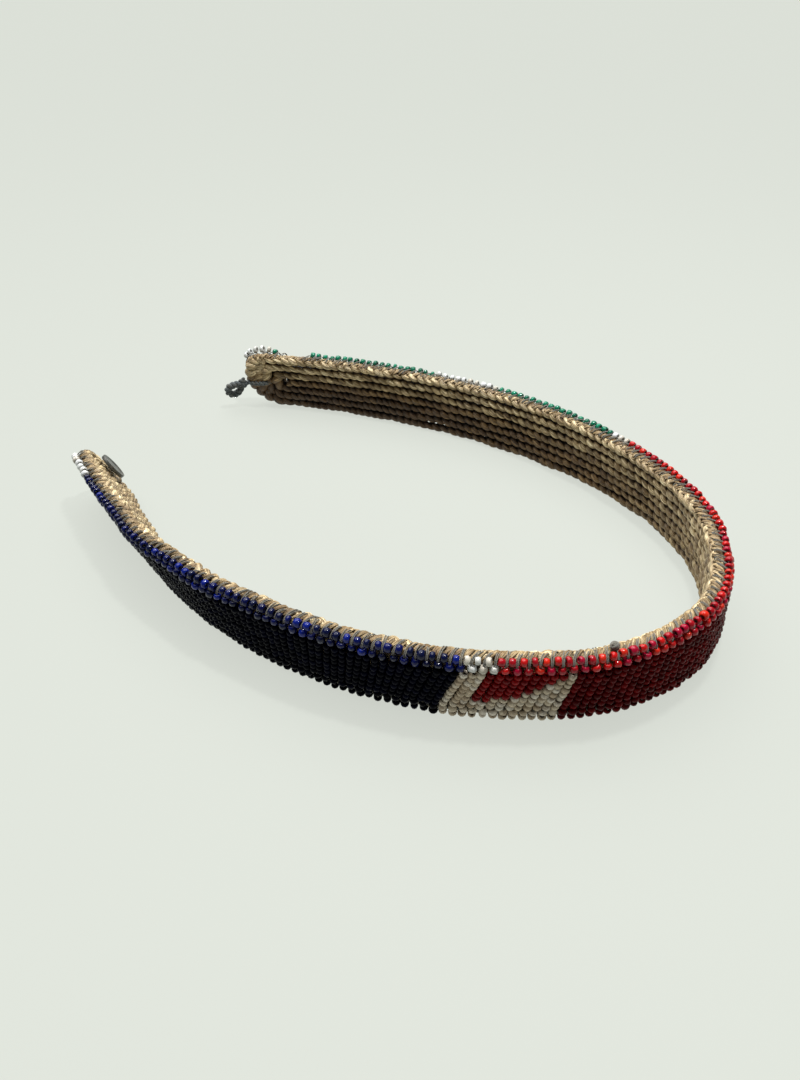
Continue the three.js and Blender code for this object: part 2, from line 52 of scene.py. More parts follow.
# the band's plan and sizes, the same as the part's
band = {
    "length": 512 * mm,
    "nearTip": (-99.640 * mm, 24.089 * mm, -0.004 * mm),
    "startHeading": -60.3,
    "overrun": 20 * mm,         # how far the plan is traced past each tip
    "traceSteps": 2201,
    "arcs": [(60, 2.9), (50, 21.6), (50, 21.9), (40, 19.2), (35, 30.9), (27, 29.9), (28, 26.6),
             (35, 26.7), (40, 18.6), (35, 10.9), (30, 8.3), (40, 7.4), (42, 9.6)],
    "leans": [(0, 31.9), (30, 29.3), (60, 24.8), (90, 15.4), (120, 9.7), (160, 8.4), (200, 5.8),
              (240, -0.1), (280, -6.6), (320, -9.0), (400, -1.8), (512, -10.9)],
    "halfHeight": 11.925 * mm,
    "ropeReach": 2.1 * mm,      # from the rope's centre to its face
    "beadReach": 4.65 * mm,     # and to the outside of the beads
    "beadRise": 0.95 * mm,      # the lowest beads above the rope's lower edge
    "rowPitch": 3.45 * mm,
    "coilTurns": 3,
    "edgeArc": 54,
    "topRadius": 12.325 * mm,
    "tipPull": 4 * mm,          # the far tip's end is drawn in, and the middle of its coil further
    "nosePull": 9 * mm,
    "nosePullAt": 12 * mm,
    "noseReach": 80 * mm,
    "nearPull": 3.5 * mm,
    "nearPullAt": 20 * mm,
    "nearReach": 90 * mm,
    "beadZones": [("white", 8), ("blue", 55), ("white", 3), ("red", 58), ("white", 3), ("green", 19),
                  ("white", 10), ("green", 20), ("gap", 5), ("green", 1), ("white", 5)],
}


# ---------- camera, light and floor
view = {
    "place": (6.5 * mm, -250.0 * mm, 175.0 * mm),
    "downTilt": 36.05,
    "roll": 1.32,
    "lens": 38.78,
    "floorColour": (0.075, 0.079, 0.072),
    "floorGlow": (0.80, 0.835, 0.765),
    "floorGlowStrength": 0.745,
    "worldColour": (0.90, 0.93, 0.92),
    "worldStrength": 0.16,
    "sunStrength": 5.2,
    "sunWidth": 75,
    "sunTilt": (-28, -14),
    "glintPlace": (0.10, 0.02, 0.55),
    "glintSize": 0.045,
    "glintPower": 2.6,
}


def makeCamera():
    cameraData = bpy.data.cameras.new("camera")
    cameraData.lens = view["lens"]
    cameraData.sensor_fit = "HORIZONTAL"
    cameraData.sensor_width = 36
    cameraData.clip_start = 0.01
    camera = bpy.data.objects.new("camera", cameraData)
    bpy.context.scene.collection.objects.link(camera)
    camera.location = view["place"]
    camera.rotation_mode = "ZYX"
    camera.rotation_euler = (math.radians(90 - view["downTilt"]), 0, math.radians(view["roll"]))
    bpy.context.scene.camera = camera


def addSun():
    sunData = bpy.data.lights.new("softSun", "SUN")
    sunData.energy = view["sunStrength"]
    sunData.angle = math.radians(view["sunWidth"])
    sun = bpy.data.objects.new("softSun", sunData)
    bpy.context.scene.collection.objects.link(sun)
    sun.rotation_euler = [math.radians(angle) for angle in (*view["sunTilt"], 0)]


def addGlintLamp():
    # one small lamp, which leaves a bright point on each bead
    lampData = bpy.data.lights.new("glintLamp", "AREA")
    lampData.size = view["glintSize"]
    lampData.energy = view["glintPower"]
    lamp = bpy.data.objects.new("glintLamp", lampData)
    bpy.context.scene.collection.objects.link(lamp)
    lamp.location = view["glintPlace"]
    lamp.rotation_euler = (-Vector(view["glintPlace"])).to_track_quat("-Z", "Y").to_euler()


def makeStage():
    bpy.ops.mesh.primitive_plane_add(size=6, location=(0, 0, 0))
    floor = bpy.context.object
    floor.name = "floor"
    floorPaint = bpy.data.materials.new("palePaper")
    floorPaint.use_nodes = True
    shader = floorPaint.node_tree.nodes["Principled BSDF"]
    shader.inputs["Base Color"].default_value = (*view["floorColour"], 1)
    shader.inputs["Roughness"].default_value = 1
    shader.inputs["Specular IOR Level"].default_value = 0
    shader.inputs["Emission Color"].default_value = (*view["floorGlow"], 1)
    shader.inputs["Emission Strength"].default_value = view["floorGlowStrength"]
    floor.data.materials.append(floorPaint)
    world = bpy.data.worlds.new("studio")
    bpy.context.scene.world = world
    world.use_nodes = True
    background = world.node_tree.nodes["Background"]
    background.inputs["Color"].default_value = (*view["worldColour"], 1)
    background.inputs["Strength"].default_value = view["worldStrength"]
    addSun()
    addGlintLamp()


bpy.context.scene.view_settings.view_transform = "Standard"
makeCamera()
makeStage()
print("camera and light ready")


# ---------- the band's own coordinates: along it, out from the rope's centre, up from the floor
def tracePlan():
    # the middle line of the band, as positions and headings at fine steps
    total = sum(length for length, turn in band["arcs"])
    bends = [(length * band["length"] / total, math.radians(turn)) for length, turn in band["arcs"]]
    marks = np.linspace(-band["overrun"], band["length"] + band["overrun"], band["traceSteps"])
    curvature = np.zeros_like(marks)
    start = 0
    for i, (length, turn) in enumerate(bends):
        inside = marks >= (start if i else -band["overrun"])
        curvature[inside] = turn / length
        start += length
    step = marks[1] - marks[0]
    heading = np.concatenate([[0], np.cumsum(curvature[:-1] * step)])
    heading += math.radians(band["startHeading"]) - np.interp(0, marks, heading)
    middle = (heading[1:] + heading[:-1]) / 2
    x = np.concatenate([[0], np.cumsum(np.cos(middle) * step)])
    y = np.concatenate([[0], np.cumsum(np.sin(middle) * step)])
    x += band["nearTip"][0] - np.interp(0, marks, x)
    y += band["nearTip"][1] - np.interp(0, marks, y)
    return marks, x, y, heading


planMarks, planX, planY, planHeading = tracePlan()


def leanAt(along):
    total = sum(length for length, turn in band["arcs"])
    share = np.clip(along / band["length"] * total, 0, total)
    lean = np.zeros_like(share)
    for (start, first), (end, last) in zip(band["leans"], band["leans"][1:]):
        inside = (share >= start) & (share <= end)
        t = np.clip((share - start) / (end - start), 0, 1)
        t = t * t * (3 - 2 * t)
        lean = np.where(inside, first + (last - first) * t, lean)
    return np.radians(lean)


def bandAxes(along):
    # unit vectors at each place: along the band, outwards and upwards
    heading = np.interp(along, planMarks, planHeading)
    lean = leanAt(along)
    zero = np.zeros_like(heading)
    tangent = np.stack([np.cos(heading), np.sin(heading), zero], -1)
    normal = np.stack([np.sin(heading), -np.cos(heading), zero], -1)
    vertical = np.stack([zero, zero, zero + 1], -1)
    outward = normal * np.cos(lean)[..., None] - vertical * np.sin(lean)[..., None]
    upward = normal * np.sin(lean)[..., None] + vertical * np.cos(lean)[..., None]
    return tangent, outward, upward


def smoothStep(value, low, high):
    t = np.clip((value - low) / (high - low), 0, 1)
    return t * t * (3 - 2 * t)


def pullAt(along, up):
    # how far a place near a tip is drawn in; at the far tip the top rows stay where they are
    fromTip = band["length"] - along
    at = band["nosePullAt"]
    share = np.maximum(0, smoothStep(fromTip, -at, at) * 2 - 1)
    nose = band["tipPull"] + (band["nosePull"] - band["tipPull"]) * share
    beyond = band["nosePull"] * (1 - smoothStep(fromTip, at, band["noseReach"]))
    far = (1 - smoothStep(up, 0, band["topRadius"])) * np.where(fromTip > at, beyond, nose)
    near = band["nearPull"] * (1 - smoothStep(along, band["nearPullAt"], band["nearReach"]))
    return far - near


def bandPoint(along, out, up):
    # up is measured from the middle of the band's height
    along, out, up = np.broadcast_arrays(np.asarray(along, float), out, up)
    along = along - pullAt(along, up)
    tangent, outward, upward = bandAxes(along)
    lean = leanAt(along)
    lift = np.maximum(np.abs(np.sin(lean)) * band["ropeReach"],
                      np.sin(lean) * band["beadReach"] - np.cos(lean) * band["beadRise"])
    foot = np.stack([np.interp(along, planMarks, planX), np.interp(along, planMarks, planY),
                     lift + band["nearTip"][2]], -1)
    return foot + outward * out[..., None] + upward * (up + band["halfHeight"])[..., None]


straightLength = band["length"] - 2 * band["halfHeight"]
edgeArcLength = math.radians(band["edgeArc"]) * band["topRadius"]
beadCount = sum(count for name, count in band["beadZones"])
beadPitch = (straightLength + 1.8 * edgeArcLength) / beadCount
firstMark = -0.9 * edgeArcLength


def railPlace(mark, radius, side=1):
    # a place on a row that runs straight and then down round each tip; the row's marks are
    # measured along the top row, so that every row keeps level with it
    past = np.where(mark < 0, mark, np.maximum(0, mark - straightLength))
    angle = past / band["topRadius"]
    along = band["halfHeight"] + np.clip(mark, 0, straightLength) + radius * np.sin(angle)
    return along, side * radius * np.cos(angle), -side * angle


# ---------- shared modelling helpers
def deselectAll():
    if bpy.context.mode != "OBJECT":
        bpy.ops.object.mode_set(mode="OBJECT")
    bpy.ops.object.select_all(action="DESELECT")


def meshArrays(piece):
    # a mesh's corner places and its faces, as arrays
    mesh = piece.data
    corners = np.zeros(len(mesh.vertices) * 3)
    mesh.vertices.foreach_get("co", corners)
    faces = [tuple(face.vertices) for face in mesh.polygons]
    return corners.reshape(-1, 3), faces


def pieceFromArrays(name, corners, faces, attributes):
    mesh = bpy.data.meshes.new(name)
    mesh.from_pydata(corners.tolist(), [], faces)
    for label, values in attributes.items():
        if values.ndim == 1:
            layer = mesh.attributes.new(label, "FLOAT", "POINT")
            layer.data.foreach_set("value", values.astype(np.float32))
        else:
            layer = mesh.attributes.new(label, "FLOAT_VECTOR", "POINT")
            layer.data.foreach_set("vector", values.astype(np.float32).ravel())
    mesh.update()
    mesh.polygons.foreach_set("use_smooth", [True] * len(mesh.polygons))
    piece = bpy.data.objects.new(name, mesh)
    bpy.context.scene.collection.objects.link(piece)
    return piece


def makeTube(sides, rings, closeEnds=True):
    # a straight tube of unit radius along Z, one unit from ring to ring
    deselectAll()
    bpy.ops.mesh.primitive_circle_add(vertices=sides, radius=1, location=(0, 0, 0))
    tube = bpy.context.object
    bpy.ops.object.mode_set(mode="EDIT")
    bpy.ops.mesh.select_all(action="SELECT")
    bpy.ops.mesh.extrude_region_move(TRANSFORM_OT_translate={"value": (0, 0, 1)})
    bpy.ops.object.mode_set(mode="OBJECT")
    repeat = tube.modifiers.new("repeat", "ARRAY")
    repeat.count = rings - 1
    repeat.use_relative_offset = False
    repeat.use_constant_offset = True
    repeat.constant_offset_displace = (0, 0, 1)
    repeat.use_merge_vertices = True
    repeat.merge_threshold = 0.01
    bpy.ops.object.modifier_apply(modifier="repeat")
    if closeEnds:
        bpy.ops.object.mode_set(mode="EDIT")
        bpy.ops.mesh.select_all(action="SELECT")
        bpy.ops.mesh.region_to_loop()
        bpy.ops.mesh.edge_face_add()
        bpy.ops.object.mode_set(mode="OBJECT")
    corners, faces = meshArrays(tube)
    bpy.data.objects.remove(tube)
    ringIndex = np.rint(corners[:, 2]).astype(int)
    angle = np.arctan2(corners[:, 1], corners[:, 0])
    return ringIndex, angle, faces


def stepsAlong(path):
    return np.concatenate([[0], np.cumsum(np.linalg.norm(np.diff(path, axis=0), axis=1))])


def pathFrame(path, cross, closes=False):
    # two directions across a path, the first one as near to cross as it can be
    tangent = np.gradient(path, axis=0)
    if closes:
        tangent[-1] = tangent[0]
    tangent /= np.linalg.norm(tangent, axis=1)[:, None]
    first = cross - tangent * np.sum(cross * tangent, axis=1)[:, None]
    first /= np.linalg.norm(first, axis=1)[:, None]
    return first, np.cross(tangent, first)


patternShift = 37.0     # each strand starts elsewhere in the pattern of its fibres


def layTubes(name, tube, paths, sideways, radii, flatness=1.0, shade=0.0):
    # copies of one tube, each laid along its own path; sideways gives the way their width runs
    ringIndex, angle, faces = tube
    allCorners, allFaces, tints, fibres = [], [], [], []
    for number, (path, cross) in enumerate(zip(paths, sideways)):
        first, second = pathFrame(path, cross)
        radius = np.broadcast_to(radii[number], len(path))[ringIndex]
        spoke = (first[ringIndex] * np.cos(angle)[:, None]
                 + second[ringIndex] * (np.sin(angle) * flatness)[:, None])
        offset = number * len(ringIndex)
        allCorners.append(path[ringIndex] + spoke * radius[:, None])
        allFaces.extend([tuple(corner + offset for corner in face) for face in faces])
        tints.append(np.full(len(ringIndex), rng.uniform(0, 1)))
        run = stepsAlong(path)[ringIndex] / mm + number * patternShift
        fibres.append(np.stack([np.cos(angle), np.sin(angle), run], -1))
    total = len(ringIndex) * len(paths)
    attributes = {"tint": np.concatenate(tints), "fibre": np.concatenate(fibres),
                  "grooveShade": np.zeros(total), "shade": np.full(total, shade)}
    return pieceFromArrays(name, np.concatenate(allCorners), allFaces, attributes)


def mergeSeam(piece):
    # a tube that closes on itself meets its own first ring
    deselectAll()
    bpy.context.view_layer.objects.active = piece
    piece.select_set(True)
    bpy.ops.object.mode_set(mode="EDIT")
    bpy.ops.mesh.select_all(action="SELECT")
    bpy.ops.mesh.remove_doubles(threshold=0.000001)
    bpy.ops.mesh.normals_make_consistent(inside=False)
    bpy.ops.object.mode_set(mode="OBJECT")


def smoothNoise(places, wave, seed, channels=1):
    # a slow wander between -1 and 1, as a sum of a few sine waves
    wander = np.random.default_rng(seed)
    total = np.zeros((channels, len(places)))
    for channel in range(channels):
        for octave in (1, 0.63, 0.41, 0.23):
            phase = wander.uniform(0, 2 * math.pi)
            total[channel] += np.sin(places / (wave * octave) * 2 * math.pi + phase) * octave
    return total / 1.6


def roundCurve(points, count):
    # an even, rounded line through the points
    points = np.asarray(points, float)
    padded = np.concatenate([[2 * points[0] - points[1]], points, [2 * points[-1] - points[-2]]])
    knotsEach = 12
    knots = np.linspace(0, len(points) - 1 - 1e-9, len(points) * knotsEach)
    i = knots.astype(int)
    t = (knots - i)[:, None]
    a, b, c, d = padded[i], padded[i + 1], padded[i + 2], padded[i + 3]
    fine = 0.5 * (2 * b + (c - a) * t + (2 * a - 5 * b + 4 * c - d) * t ** 2
                  + (3 * b - a - 3 * c + d) * t ** 3)
    steps = stepsAlong(fine)
    even = np.linspace(0, steps[-1], count)
    return np.stack([np.interp(even, steps, fine[:, axis]) for axis in range(3)], -1)


# ---------- materials
def newMaterial(name):
    material = bpy.data.materials.new(name)
    material.use_nodes = True
    tree = material.node_tree
    return material, tree, tree.nodes["Principled BSDF"]


def addNode(tree, kind, inputs=None, **settings):
    node = tree.nodes.new(kind)
    for label, value in settings.items():
        setattr(node, label, value)
    for label, value in (inputs or {}).items():
        if isinstance(value, bpy.types.NodeSocket):
            tree.links.new(value, node.inputs[label])
        else:
            node.inputs[label].default_value = value
    return node


def addRamp(tree, factor, stops, interpolation="LINEAR"):
    ramp = addNode(tree, "ShaderNodeValToRGB", {"Fac": factor})
    ramp.color_ramp.interpolation = interpolation
    while len(ramp.color_ramp.elements) < len(stops):
        ramp.color_ramp.elements.new(0.5)
    for element, (place, colour) in zip(ramp.color_ramp.elements, stops):
        element.position = place
        element.color = (*colour, 1)
    return ramp.outputs["Color"]


def mixColours(tree, factor, first, second, blend="MIX"):
    mix = tree.nodes.new("ShaderNodeMix")
    mix.data_type = "RGBA"
    mix.blend_type = blend
    for socket, value in ((mix.inputs[0], factor), (mix.inputs[6], first), (mix.inputs[7], second)):
        if isinstance(value, bpy.types.NodeSocket):
            tree.links.new(value, socket)
        else:
            socket.default_value = value
    return mix.outputs[2]


def newGroup(name, inputs, outputs):
    group = bpy.data.node_groups.new(name, "ShaderNodeTree")
    for label, kind, value in inputs:
        socket = group.interface.new_socket(label, in_out="INPUT", socket_type=kind)
        if value is not None:
            socket.default_value = value
    for label, kind in outputs:
        group.interface.new_socket(label, in_out="OUTPUT", socket_type=kind)
    return group, group.nodes.new("NodeGroupInput"), group.nodes.new("NodeGroupOutput")


def makeFibreGroup():
    # long thin streaks that run along a strand, from the strand's own coordinates
    group, given, made = newGroup("fibreStreaks", [
        ("Fibre", "NodeSocketVector", None), ("Fineness", "NodeSocketFloat", 3.0),
        ("Stretch", "NodeSocketFloat", 0.16)],
        [("Streak", "NodeSocketFloat"), ("Broad", "NodeSocketFloat"), ("Height", "NodeSocketFloat")])
    split = addNode(group, "ShaderNodeSeparateXYZ", {"Vector": given.outputs["Fibre"]})
    along = addNode(group, "ShaderNodeMath", {0: split.outputs["Z"], 1: given.outputs["Stretch"]},
                    operation="MULTIPLY")
    place = addNode(group, "ShaderNodeCombineXYZ", {"X": split.outputs["X"], "Y": split.outputs["Y"],
                                                    "Z": along.outputs[0]})
    fine = addNode(group, "ShaderNodeTexNoise", {"Vector": place.outputs[0], "Detail": 3.0, "Roughness": 0.6,
                                                 "Scale": given.outputs["Fineness"]})
    broad = addNode(group, "ShaderNodeTexNoise", {"Vector": place.outputs[0], "Detail": 1.0, "Scale": 1.3})
    crease = addNode(group, "ShaderNodeMath", {0: fine.outputs["Fac"], 1: 0.5}, operation="SUBTRACT")
    crease = addNode(group, "ShaderNodeMath", {0: crease.outputs[0]}, operation="ABSOLUTE")
    height = addNode(group, "ShaderNodeMath", {0: crease.outputs[0], 1: 4.0}, operation="MULTIPLY")
    group.links.new(fine.outputs["Fac"], made.inputs["Streak"])
    group.links.new(broad.outputs["Fac"], made.inputs["Broad"])
    group.links.new(height.outputs[0], made.inputs["Height"])
    return group


def makeGrimeGroup():
    # patches of settled dust and dirt, the same over every piece they reach
    group, given, made = newGroup("settledGrime", [
        ("Color", "NodeSocketColor", None), ("Dirt", "NodeSocketColor", None),
        ("Amount", "NodeSocketFloat", 0.3), ("Grain", "NodeSocketFloat", 400.0)],
        [("Color", "NodeSocketColor"), ("Mask", "NodeSocketFloat")])
    place = addNode(group, "ShaderNodeTexCoord")
    patches = addNode(group, "ShaderNodeTexNoise", {"Vector": place.outputs["Object"], "Detail": 4.0,
                                                    "Roughness": 0.62, "Scale": given.outputs["Grain"]})
    mask = addNode(group, "ShaderNodeMapRange", {"Value": patches.outputs["Fac"], "From Min": 0.46,
                                                 "From Max": 0.68})
    mask = addNode(group, "ShaderNodeMath", {0: mask.outputs[0], 1: given.outputs["Amount"]},
                   operation="MULTIPLY", use_clamp=True)
    colour = mixColours(group, mask.outputs[0], given.outputs["Color"], given.outputs["Dirt"])
    group.links.new(colour, made.inputs["Color"])
    group.links.new(mask.outputs[0], made.inputs["Mask"])
    return group


fibreStreaks = makeFibreGroup()
settledGrime = makeGrimeGroup()


def placeGroup(tree, group, inputs):
    node = tree.nodes.new("ShaderNodeGroup")
    node.node_tree = group
    for label, value in inputs.items():
        if isinstance(value, bpy.types.NodeSocket):
            tree.links.new(value, node.inputs[label])
        else:
            node.inputs[label].default_value = value
    return node


def attribute(tree, label, output="Fac"):
    return addNode(tree, "ShaderNodeAttribute", attribute_name=label).outputs[output]


def makeGrassMaterial():
    material, tree, shader = newMaterial("dryGrass")
    streaks = placeGroup(tree, fibreStreaks, {"Fibre": attribute(tree, "fibre", "Vector"), "Fineness": 3.6,
                                              "Stretch": 0.12})
    straw = addRamp(tree, streaks.outputs["Streak"], [
        (0.30, (0.10, 0.07, 0.035)), (0.43, (0.36, 0.29, 0.18)), (0.55, (0.63, 0.56, 0.40)),
        (0.68, (0.98, 0.94, 0.80))])
    bleached = addRamp(tree, streaks.outputs["Broad"], [(0.35, (0.52, 0.46, 0.36)),
                                                        (0.65, (1.25, 1.23, 1.18))])
    straw = mixColours(tree, 1.0, straw, bleached, "MULTIPLY")
    aged = addRamp(tree, attribute(tree, "tint"), [(0.0, (0.62, 0.52, 0.40)), (0.5, (0.95, 0.90, 0.80)),
                                                   (1.0, (1.2, 1.2, 1.15))])
    straw = mixColours(tree, 1.0, straw, aged, "MULTIPLY")
    # painted light and shade from the shade attribute: lightened where it is low (the rope's upper rows),
    # darkened where it is high (its lower rows)
    paintedShading = addRamp(tree, attribute(tree, "shade"), [(0.0, (1.12, 1.09, 1.02)), (0.3, (0.74, 0.67, 0.56)),
                                                      (0.6, (0.42, 0.31, 0.19)), (1.0, (0.16, 0.095, 0.042))])
    straw = mixColours(tree, 1.0, straw, paintedShading, "MULTIPLY")
    grime = placeGroup(tree, settledGrime, {"Color": straw, "Dirt": (0.09, 0.055, 0.028, 1), "Amount": 0.55,
                                            "Grain": 160.0})
    # painted shade in the crevices between the rope's rows
    grooveShade = addRamp(tree, attribute(tree, "grooveShade"), [(0.05, (1, 1, 1)), (0.45, (0.55, 0.48, 0.38)),
                                                       (0.85, (0.07, 0.045, 0.025))])
    colour = mixColours(tree, 1.0, grime.outputs["Color"], grooveShade, "MULTIPLY")
    tree.links.new(colour, shader.inputs["Base Color"])
    shader.inputs["Roughness"].default_value = 0.46
    shader.inputs["Specular IOR Level"].default_value = 0.5
    bump = addNode(tree, "ShaderNodeBump", {"Height": streaks.outputs["Height"], "Strength": 0.55,
                                            "Distance": 0.00035})
    tree.links.new(bump.outputs["Normal"], shader.inputs["Normal"])
    return material


def makeThreadMaterial(name, dark, light, roughness=0.9):
    material, tree, shader = newMaterial(name)
    streaks = placeGroup(tree, fibreStreaks, {"Fibre": attribute(tree, "fibre", "Vector"), "Fineness": 3.0,
                                              "Stretch": 2.2})
    cotton = addRamp(tree, streaks.outputs["Streak"], [(0.32, dark), (0.66, light)])
    grime = placeGroup(tree, settledGrime, {"Color": cotton, "Dirt": (0.10, 0.08, 0.05, 1), "Amount": 0.5,
                                            "Grain": 500.0})
    tree.links.new(grime.outputs["Color"], shader.inputs["Base Color"])
    shader.inputs["Roughness"].default_value = roughness
    shader.inputs["Sheen Weight"].default_value = 0.25
    bump = addNode(tree, "ShaderNodeBump", {"Height": streaks.outputs["Height"], "Strength": 0.5,
                                            "Distance": 0.00012})
    tree.links.new(bump.outputs["Normal"], shader.inputs["Normal"])
    return material


def makeGlassMaterial(name, stops, dirt, dirtAmount, roughness=0.16, specular=0.3, shade=0.3):
    # stops give the beads' colours; each bead picks one by its own tint
    material, tree, shader = newMaterial(name)
    colour = addRamp(tree, attribute(tree, "tint"), stops, "CONSTANT")
    cloud = addNode(tree, "ShaderNodeTexNoise", {"Vector": attribute(tree, "local", "Vector"), "Scale": 1.4,
                                                 "Detail": 2.0})
    uneven = addRamp(tree, cloud.outputs["Fac"], [(0.3, (0.72, 0.72, 0.72)), (0.7, (1.12, 1.12, 1.12))])
    colour = mixColours(tree, 0.8, colour, uneven, "MULTIPLY")
    grime = placeGroup(tree, settledGrime, {"Color": colour, "Dirt": (*dirt, 1), "Amount": dirtAmount,
                                            "Grain": 620.0})
    dark = (shade, shade * 0.9, shade * 0.8)
    hole = addRamp(tree, attribute(tree, "hole"), [(0.2, (1, 1, 1)), (0.9, dark)])
    colour = mixColours(tree, 1.0, grime.outputs["Color"], hole, "MULTIPLY")
    tree.links.new(colour, shader.inputs["Base Color"])
    rough = addNode(tree, "ShaderNodeMapRange", {"Value": grime.outputs["Mask"], "To Min": roughness,
                                                 "To Max": 0.75})
    tree.links.new(rough.outputs[0], shader.inputs["Roughness"])
    shader.inputs["Specular IOR Level"].default_value = specular
    pits = addNode(tree, "ShaderNodeTexNoise", {"Vector": attribute(tree, "local", "Vector"), "Scale": 3.2,
                                                "Detail": 1.0})
    bump = addNode(tree, "ShaderNodeBump", {"Height": pits.outputs["Fac"], "Strength": 0.12,
                                            "Distance": 0.0002})
    tree.links.new(bump.outputs["Normal"], shader.inputs["Normal"])
    return material


def makeButtonMaterial():
    material, tree, shader = newMaterial("darkHorn")
    place = addNode(tree, "ShaderNodeTexCoord")
    stretch = addNode(tree, "ShaderNodeMapping", {"Vector": place.outputs["Object"],
                                                  "Scale": (900, 250, 900)})
    swirl = addNode(tree, "ShaderNodeTexNoise", {"Vector": stretch.outputs[0], "Scale": 1.0, "Detail": 5.0})
    colour = addRamp(tree, swirl.outputs["Fac"], [
        (0.35, (0.018, 0.020, 0.018)), (0.62, (0.050, 0.052, 0.045)), (0.75, (0.10, 0.095, 0.075))])
    grime = placeGroup(tree, settledGrime, {"Color": colour, "Dirt": (0.14, 0.12, 0.09, 1), "Amount": 0.45,
                                            "Grain": 700.0})
    tree.links.new(grime.outputs["Color"], shader.inputs["Base Color"])
    rough = addNode(tree, "ShaderNodeMapRange", {"Value": grime.outputs["Mask"], "To Min": 0.28,
                                                 "To Max": 0.7})
    tree.links.new(rough.outputs[0], shader.inputs["Roughness"])
    return material


dryGrass = makeGrassMaterial()
greyCotton = makeThreadMaterial("greyCotton", (0.060, 0.058, 0.046), (0.20, 0.195, 0.165))
loopCotton = makeThreadMaterial("loopCotton", (0.020, 0.026, 0.027), (0.085, 0.105, 0.11))
darkHorn = makeButtonMaterial()
glass = {
    "white": makeGlassMaterial("whiteGlass", [
        (0.0, (0.62, 0.645, 0.63)), (0.30, (0.56, 0.57, 0.54)), (0.55, (0.66, 0.68, 0.68)),
        (0.85, (0.50, 0.47, 0.40))], (0.30, 0.21, 0.12), 0.30, 0.14, 0.38),
    "shadedWhite": makeGlassMaterial("shadedWhiteGlass", [
        (0.0, (0.56, 0.475, 0.35)), (0.25, (0.62, 0.545, 0.425)), (0.50, (0.48, 0.39, 0.275)),
        (0.75, (0.66, 0.60, 0.50))], (0.20, 0.12, 0.06), 0.55, 0.22, 0.2),
    "blue": makeGlassMaterial("blueGlass", [
        (0.0, (0.001, 0.003, 0.028)), (0.35, (0.001, 0.004, 0.065)), (0.65, (0.001, 0.003, 0.043)),
        (0.85, (0.002, 0.010, 0.16))], (0.004, 0.006, 0.016), 0.3, 0.08, 0.26),
    # shaded copy of the blue glass, painted shade for the blue beads on the outer face
    "shadedBlue": makeGlassMaterial("shadedBlueGlass", [
        (0.0, (0.0012, 0.0013, 0.0036)), (0.40, (0.0016, 0.0016, 0.0057)), (0.75, (0.0012, 0.0016, 0.009)),
        (0.994, (0.22, 0.10, 0.04))], (0.0025, 0.0022, 0.0025), 0.35, 0.09, 0.025),
    "red": makeGlassMaterial("redGlass", [
        (0.0, (0.42, 0.006, 0.006)), (0.30, (0.50, 0.016, 0.006)), (0.52, (0.29, 0.003, 0.009)),
        (0.80, (0.31, 0.002, 0.022))], (0.05, 0.006, 0.004), 0.24, 0.10, 0.3),
    # a deeper red glass for the outer face, darkened further with painted shade
    "shadedMaroon": makeGlassMaterial("shadedMaroonGlass", [
        (0.0, (0.090, 0.0008, 0.0015)), (0.35, (0.12, 0.0012, 0.002)), (0.65, (0.068, 0.0006, 0.0012)),
        (0.88, (0.15, 0.0016, 0.0025))], (0.012, 0.0012, 0.001), 0.4, 0.14, 0.05),
    # shaded copy of the red glass, painted shade for the wedge's beads on the outer face
    "shadedWedgeRed": makeGlassMaterial("shadedWedgeRedGlass", [
        (0.0, (0.19, 0.002, 0.003)), (0.35, (0.24, 0.003, 0.004)), (0.65, (0.15, 0.0015, 0.003))],
        (0.025, 0.0025, 0.002), 0.35, 0.14, 0.08),
    "green": makeGlassMaterial("greenGlass", [
        (0.0, (0.006, 0.16, 0.085)), (0.35, (0.004, 0.11, 0.06)), (0.70, (0.008, 0.21, 0.115))],
        (0.03, 0.035, 0.024), 0.3, 0.10, 0.34),
    # shaded copy of the green glass, painted shade for the green beads on the outer face
    "shadedGreen": makeGlassMaterial("shadedGreenGlass", [
        (0.0, (0.003, 0.10, 0.05)), (0.40, (0.002, 0.075, 0.038)), (0.75, (0.005, 0.13, 0.07))],
        (0.014, 0.018, 0.011), 0.35, 0.14, 0.12),
}
print("materials ready")


def finishPiece(piece, material, replaced, body=None):
    # with no body given, the piece is left unattached, with its place baked into its mesh
    piece.data.materials.append(material)
    if body:
        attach(piece, body)
    else:
        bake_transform(piece)
    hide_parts(*replaced)


hinge = bandPoint(np.array([band["length"] / 2]), 0, 0)[0]


# ---------- the coiled grass rope
rope = {
    "strandRadius": 1.20 * mm,
    "twistOut": 0.90 * mm,      # the strands' way out from the rope's centre, and up
    "twistUp": 0.56 * mm,
    "twistLength": 7.0 * mm,    # one full turn of the two strands
    "step": 0.55 * mm,
    "sides": 12,
    "wander": 0.14 * mm,
    "unevenness": 0.10,
    "noseSwell": 0.55,
    "noseLength": 15 * mm,
    "wanderWave": 30 * mm,
    "swellWave": 21 * mm,
    "twistWave": 45 * mm,
    "twistDrift": 0.5,          # radians
    "plyWave": 6 * mm,
    "plyUnevenness": 0.05,
    "toneWave": 13 * mm,
    "toneSpread": 0.30,
    "seamFade": 15 * mm,        # a turn evens out before it meets its own start
    "ridges": 0.075,
    "ridgeDrift": 9 * mm,       # the ridges turn round a strand by one radian over this length
    "reachOut": 2.05 * mm,      # the rope's face and its outer edge, from its centre line
    "reachAway": 1.75 * mm,
    "packingTurn": 2.5,
    "packingArc": (10, 135, 3.5),
}


